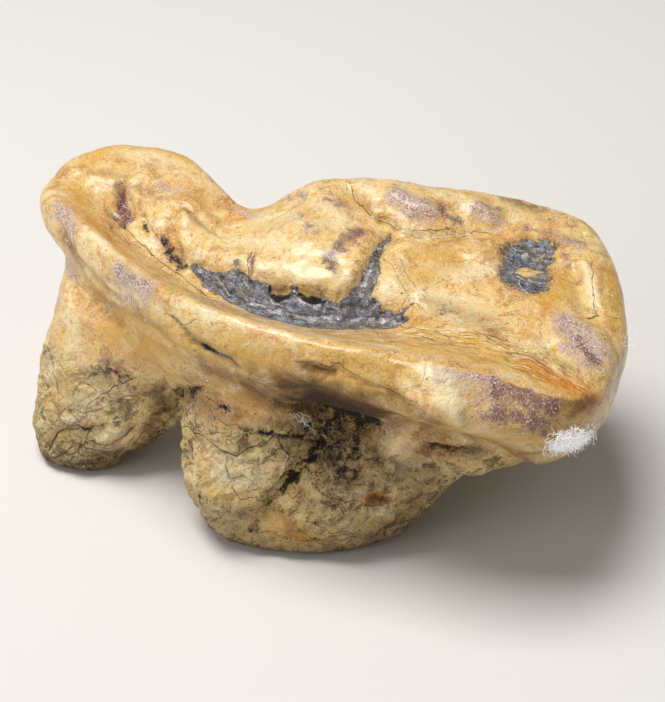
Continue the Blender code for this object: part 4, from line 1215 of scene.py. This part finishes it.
def new_tooth(look):
    """A fine, carved copy of the solid tooth."""
    noise.seed_set(NOISE_SEED)
    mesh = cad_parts[NODE].data.copy()
    mesh.name = PIECE
    mesh.materials.clear()
    piece = new_object(PIECE, mesh)
    make_active(piece)
    bpy.ops.object.mode_set(mode="EDIT")
    bpy.ops.mesh.select_all(action="SELECT")
    bpy.ops.mesh.remove_doubles(threshold=0.01 * MM)
    bpy.ops.mesh.normals_make_consistent(inside=False)
    bpy.ops.object.mode_set(mode="OBJECT")
    apply_modifier(piece, "REMESH", mode="VOXEL", voxel_size=look.grid, adaptivity=0.0)
    apply_modifier(piece, "SMOOTH", factor=0.5, iterations=18)
    points, normals = read_surface(piece.data)
    write_points(piece.data, carve(points, normals, look))
    apply_modifier(piece, "SMOOTH", factor=0.4, iterations=1)
    fit_to_box(piece.data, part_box(NODE))
    paint_fields(piece.data)
    finish_surface(piece, tooth_material(look))
    return piece


def fibre(start, direction, length, seed):
    """Points of one curled fibre."""
    random = np.random.default_rng(seed)
    points = [np.array(start, float)]
    heading = direction / np.linalg.norm(direction)
    for _ in range(FIBRE_STEPS):
        heading = heading + random.normal(0, TUFT_CURL, 3)
        heading /= np.linalg.norm(heading)
        points.append(points[-1] + heading * length / FIBRE_STEPS)
    return points


def tuft_fibres(tooth, look):
    """Lines of the tuft, each rooted where a ray towards the chipped corner meets the tooth."""
    random = np.random.default_rng(LINT_SEED)
    lines = []
    for index in range(look.count):
        step = random.uniform(0, 1)
        spread = TUFT_SPREAD - TUFT_NARROWING * abs(step - 0.5)
        aim_at = TUFT[0].lerp(TUFT[1], step) + Vector(random.normal(0, 1, 3)) * spread
        hit, place, normal, _ = tooth.ray_cast((aim_at + TUFT_SIDE * 10) * MM, -TUFT_SIDE)
        if hit:
            lean = np.array(normal) * TUFT_LEAN + random.normal(0, TUFT_SCATTER, 3)
            length = look.reach * random.uniform(0.3, 1)
            lines.append(fibre(place - normal * FIBRE_SINK, lean, length, seed=index))
    if not lines:
        raise RuntimeError("no fibre of the tuft met the tooth")
    return lines


def bowed_hair(tooth, root, tip, bow):
    """Points of a loose hair that springs from the surface nearest to its root."""
    found, start, normal, _ = tooth.closest_point_on_mesh(Vector(root) * MM)
    if not found:
        raise RuntimeError("no surface was found under a loose hair")
    end = Vector(tip) * MM
    side = (end - start).cross(normal).normalized() * bow * MM
    lift = normal * HAIR_LIFT
    return [
        start.lerp(end, step / HAIR_STEPS) + (side + lift) * math.sin(math.pi * step / HAIR_STEPS)
        for step in range(HAIR_STEPS + 1)
    ]


def fibres_to_mesh(name, lines, radius, material):
    """Turns (points, share of the radius) pairs into one mesh of thin tubes."""
    curve = bpy.data.curves.new(name, "CURVE")
    curve.dimensions = "3D"
    curve.bevel_depth = radius
    curve.bevel_resolution = 0
    curve.use_fill_caps = True
    for line, share in lines:
        spline = curve.splines.new("POLY")
        spline.points.add(len(line) - 1)
        for knot, place in zip(spline.points, line):
            knot.co = (*place, 1.0)
            knot.radius = share
        spline.points[-1].radius = share * TIP_SHARE
    make_active(new_object(name, curve))
    bpy.ops.object.convert(target="MESH")
    piece = bpy.context.view_layer.objects.active
    piece.name = name
    piece.data.name = name
    finish_surface(piece, material)
    return piece


# --- stage work ---------------------------------------------------------------------------------


def aim(thing, place, target):
    thing.location = place
    thing.rotation_mode = "QUATERNION"
    thing.rotation_quaternion = (Vector(place) - target).to_track_quat("Z", "Y")


def add_area_light(name, place, power, size):
    light = bpy.data.lights.new(name, "AREA")
    light.size = size
    light.energy = power
    light.color = LIGHT_TINT
    aim(new_object(name, light), place, MIDDLE)


def add_camera(scene, look):
    camera = bpy.data.cameras.new("camera")
    camera.lens = look.lens
    camera.sensor_width = SENSOR_WIDTH
    camera.clip_start = 0.01
    flat = math.cos(look.elevation)
    back = Vector((
        math.sin(look.azimuth) * flat, -math.cos(look.azimuth) * flat, math.sin(look.elevation)))
    scene.camera = new_object("camera", camera)
    aim(scene.camera, MIDDLE + back * look.distance, MIDDLE)


# --- operators and panel ------------------------------------------------------------------------


class MOLAR_OT_tooth(bpy.types.Operator):
    """Builds the fine molar over its solid"""

    bl_idname = "molar.tooth"
    bl_label = "Molar"
    bl_options = {"REGISTER", "UNDO"}

    def execute(self, context):
        piece = new_tooth(context.scene.molar_tooth)
        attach(piece, BODY)
        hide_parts(NODE)
        return {"FINISHED"}


class MOLAR_OT_lint(bpy.types.Operator):
    """Adds the tuft of lint on the chipped corner and the stray hairs"""

    bl_idname = "molar.lint"
    bl_label = "Lint"
    bl_options = {"REGISTER", "UNDO"}

    def execute(self, context):
        look = context.scene.molar_lint
        tooth = bpy.data.objects[PIECE]
        lines = [(line, TUFT_SHARE) for line in tuft_fibres(tooth, look)]
        lines += [(bowed_hair(tooth, *hair), HAIR_SHARE) for hair in HAIRS]
        piece = fibres_to_mesh(LINT, lines, look.thickness, lint_material(look))
        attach(piece, BODY)
        return {"FINISHED"}


class MOLAR_OT_stage(bpy.types.Operator):
    """Adds the pale floor, the soft lights and the camera"""

    bl_idname = "molar.stage"
    bl_label = "Stage"
    bl_options = {"REGISTER", "UNDO"}

    def execute(self, context):
        scene = context.scene
        look = scene.molar_stage
        deselect()
        bpy.ops.mesh.primitive_plane_add(size=look.floor, location=(0.0, 0.0, 0.0))
        floor = context.object
        floor.name = "floor"
        floor.data.materials.append(floor_material(look))
        add_area_light("key", KEY_PLACE, look.key, KEY_SIZE)
        add_area_light("fill", FILL_PLACE, look.fill, FILL_SIZE)
        scene.world = bpy.data.worlds.new("studio air")
        scene.world.use_nodes = True
        air = scene.world.node_tree.nodes["Background"]
        air.inputs["Color"].default_value = (*LIGHT_TINT, 1.0)
        air.inputs["Strength"].default_value = AIR_STRENGTH
        scene.view_settings.view_transform = "Standard"
        add_camera(scene, look)
        return {"FINISHED"}


class MOLAR_PT_panel(bpy.types.Panel):
    """Lists the parts of the molar"""

    bl_idname = "MOLAR_PT_panel"
    bl_label = "Fossil molar"
    bl_space_type = "VIEW_3D"
    bl_region_type = "UI"
    bl_category = "Fossil molar"

    def draw(self, context):
        column = self.layout.column()
        for operator in (MOLAR_OT_tooth, MOLAR_OT_lint, MOLAR_OT_stage):
            column.operator(operator.bl_idname, text=operator.bl_label)


SETTINGS = {
    "molar_tooth": MolarSettings, "molar_lint": LintSettings, "molar_stage": StageSettings,
}
CLASSES = (
    *SETTINGS.values(), MOLAR_OT_tooth, MOLAR_OT_lint, MOLAR_OT_stage, MOLAR_PT_panel,
)


def register():
    for item in CLASSES:
        bpy.utils.register_class(item)
    for name, group in SETTINGS.items():
        setattr(bpy.types.Scene, name, bpy.props.PointerProperty(type=group))


def unregister():
    for name in SETTINGS:
        delattr(bpy.types.Scene, name)
    for item in reversed(CLASSES):
        bpy.utils.unregister_class(item)


def main():
    register()
    bpy.ops.molar.tooth()
    bpy.ops.molar.lint()
    bpy.ops.molar.stage()


if __name__ == "__main__":
    main()
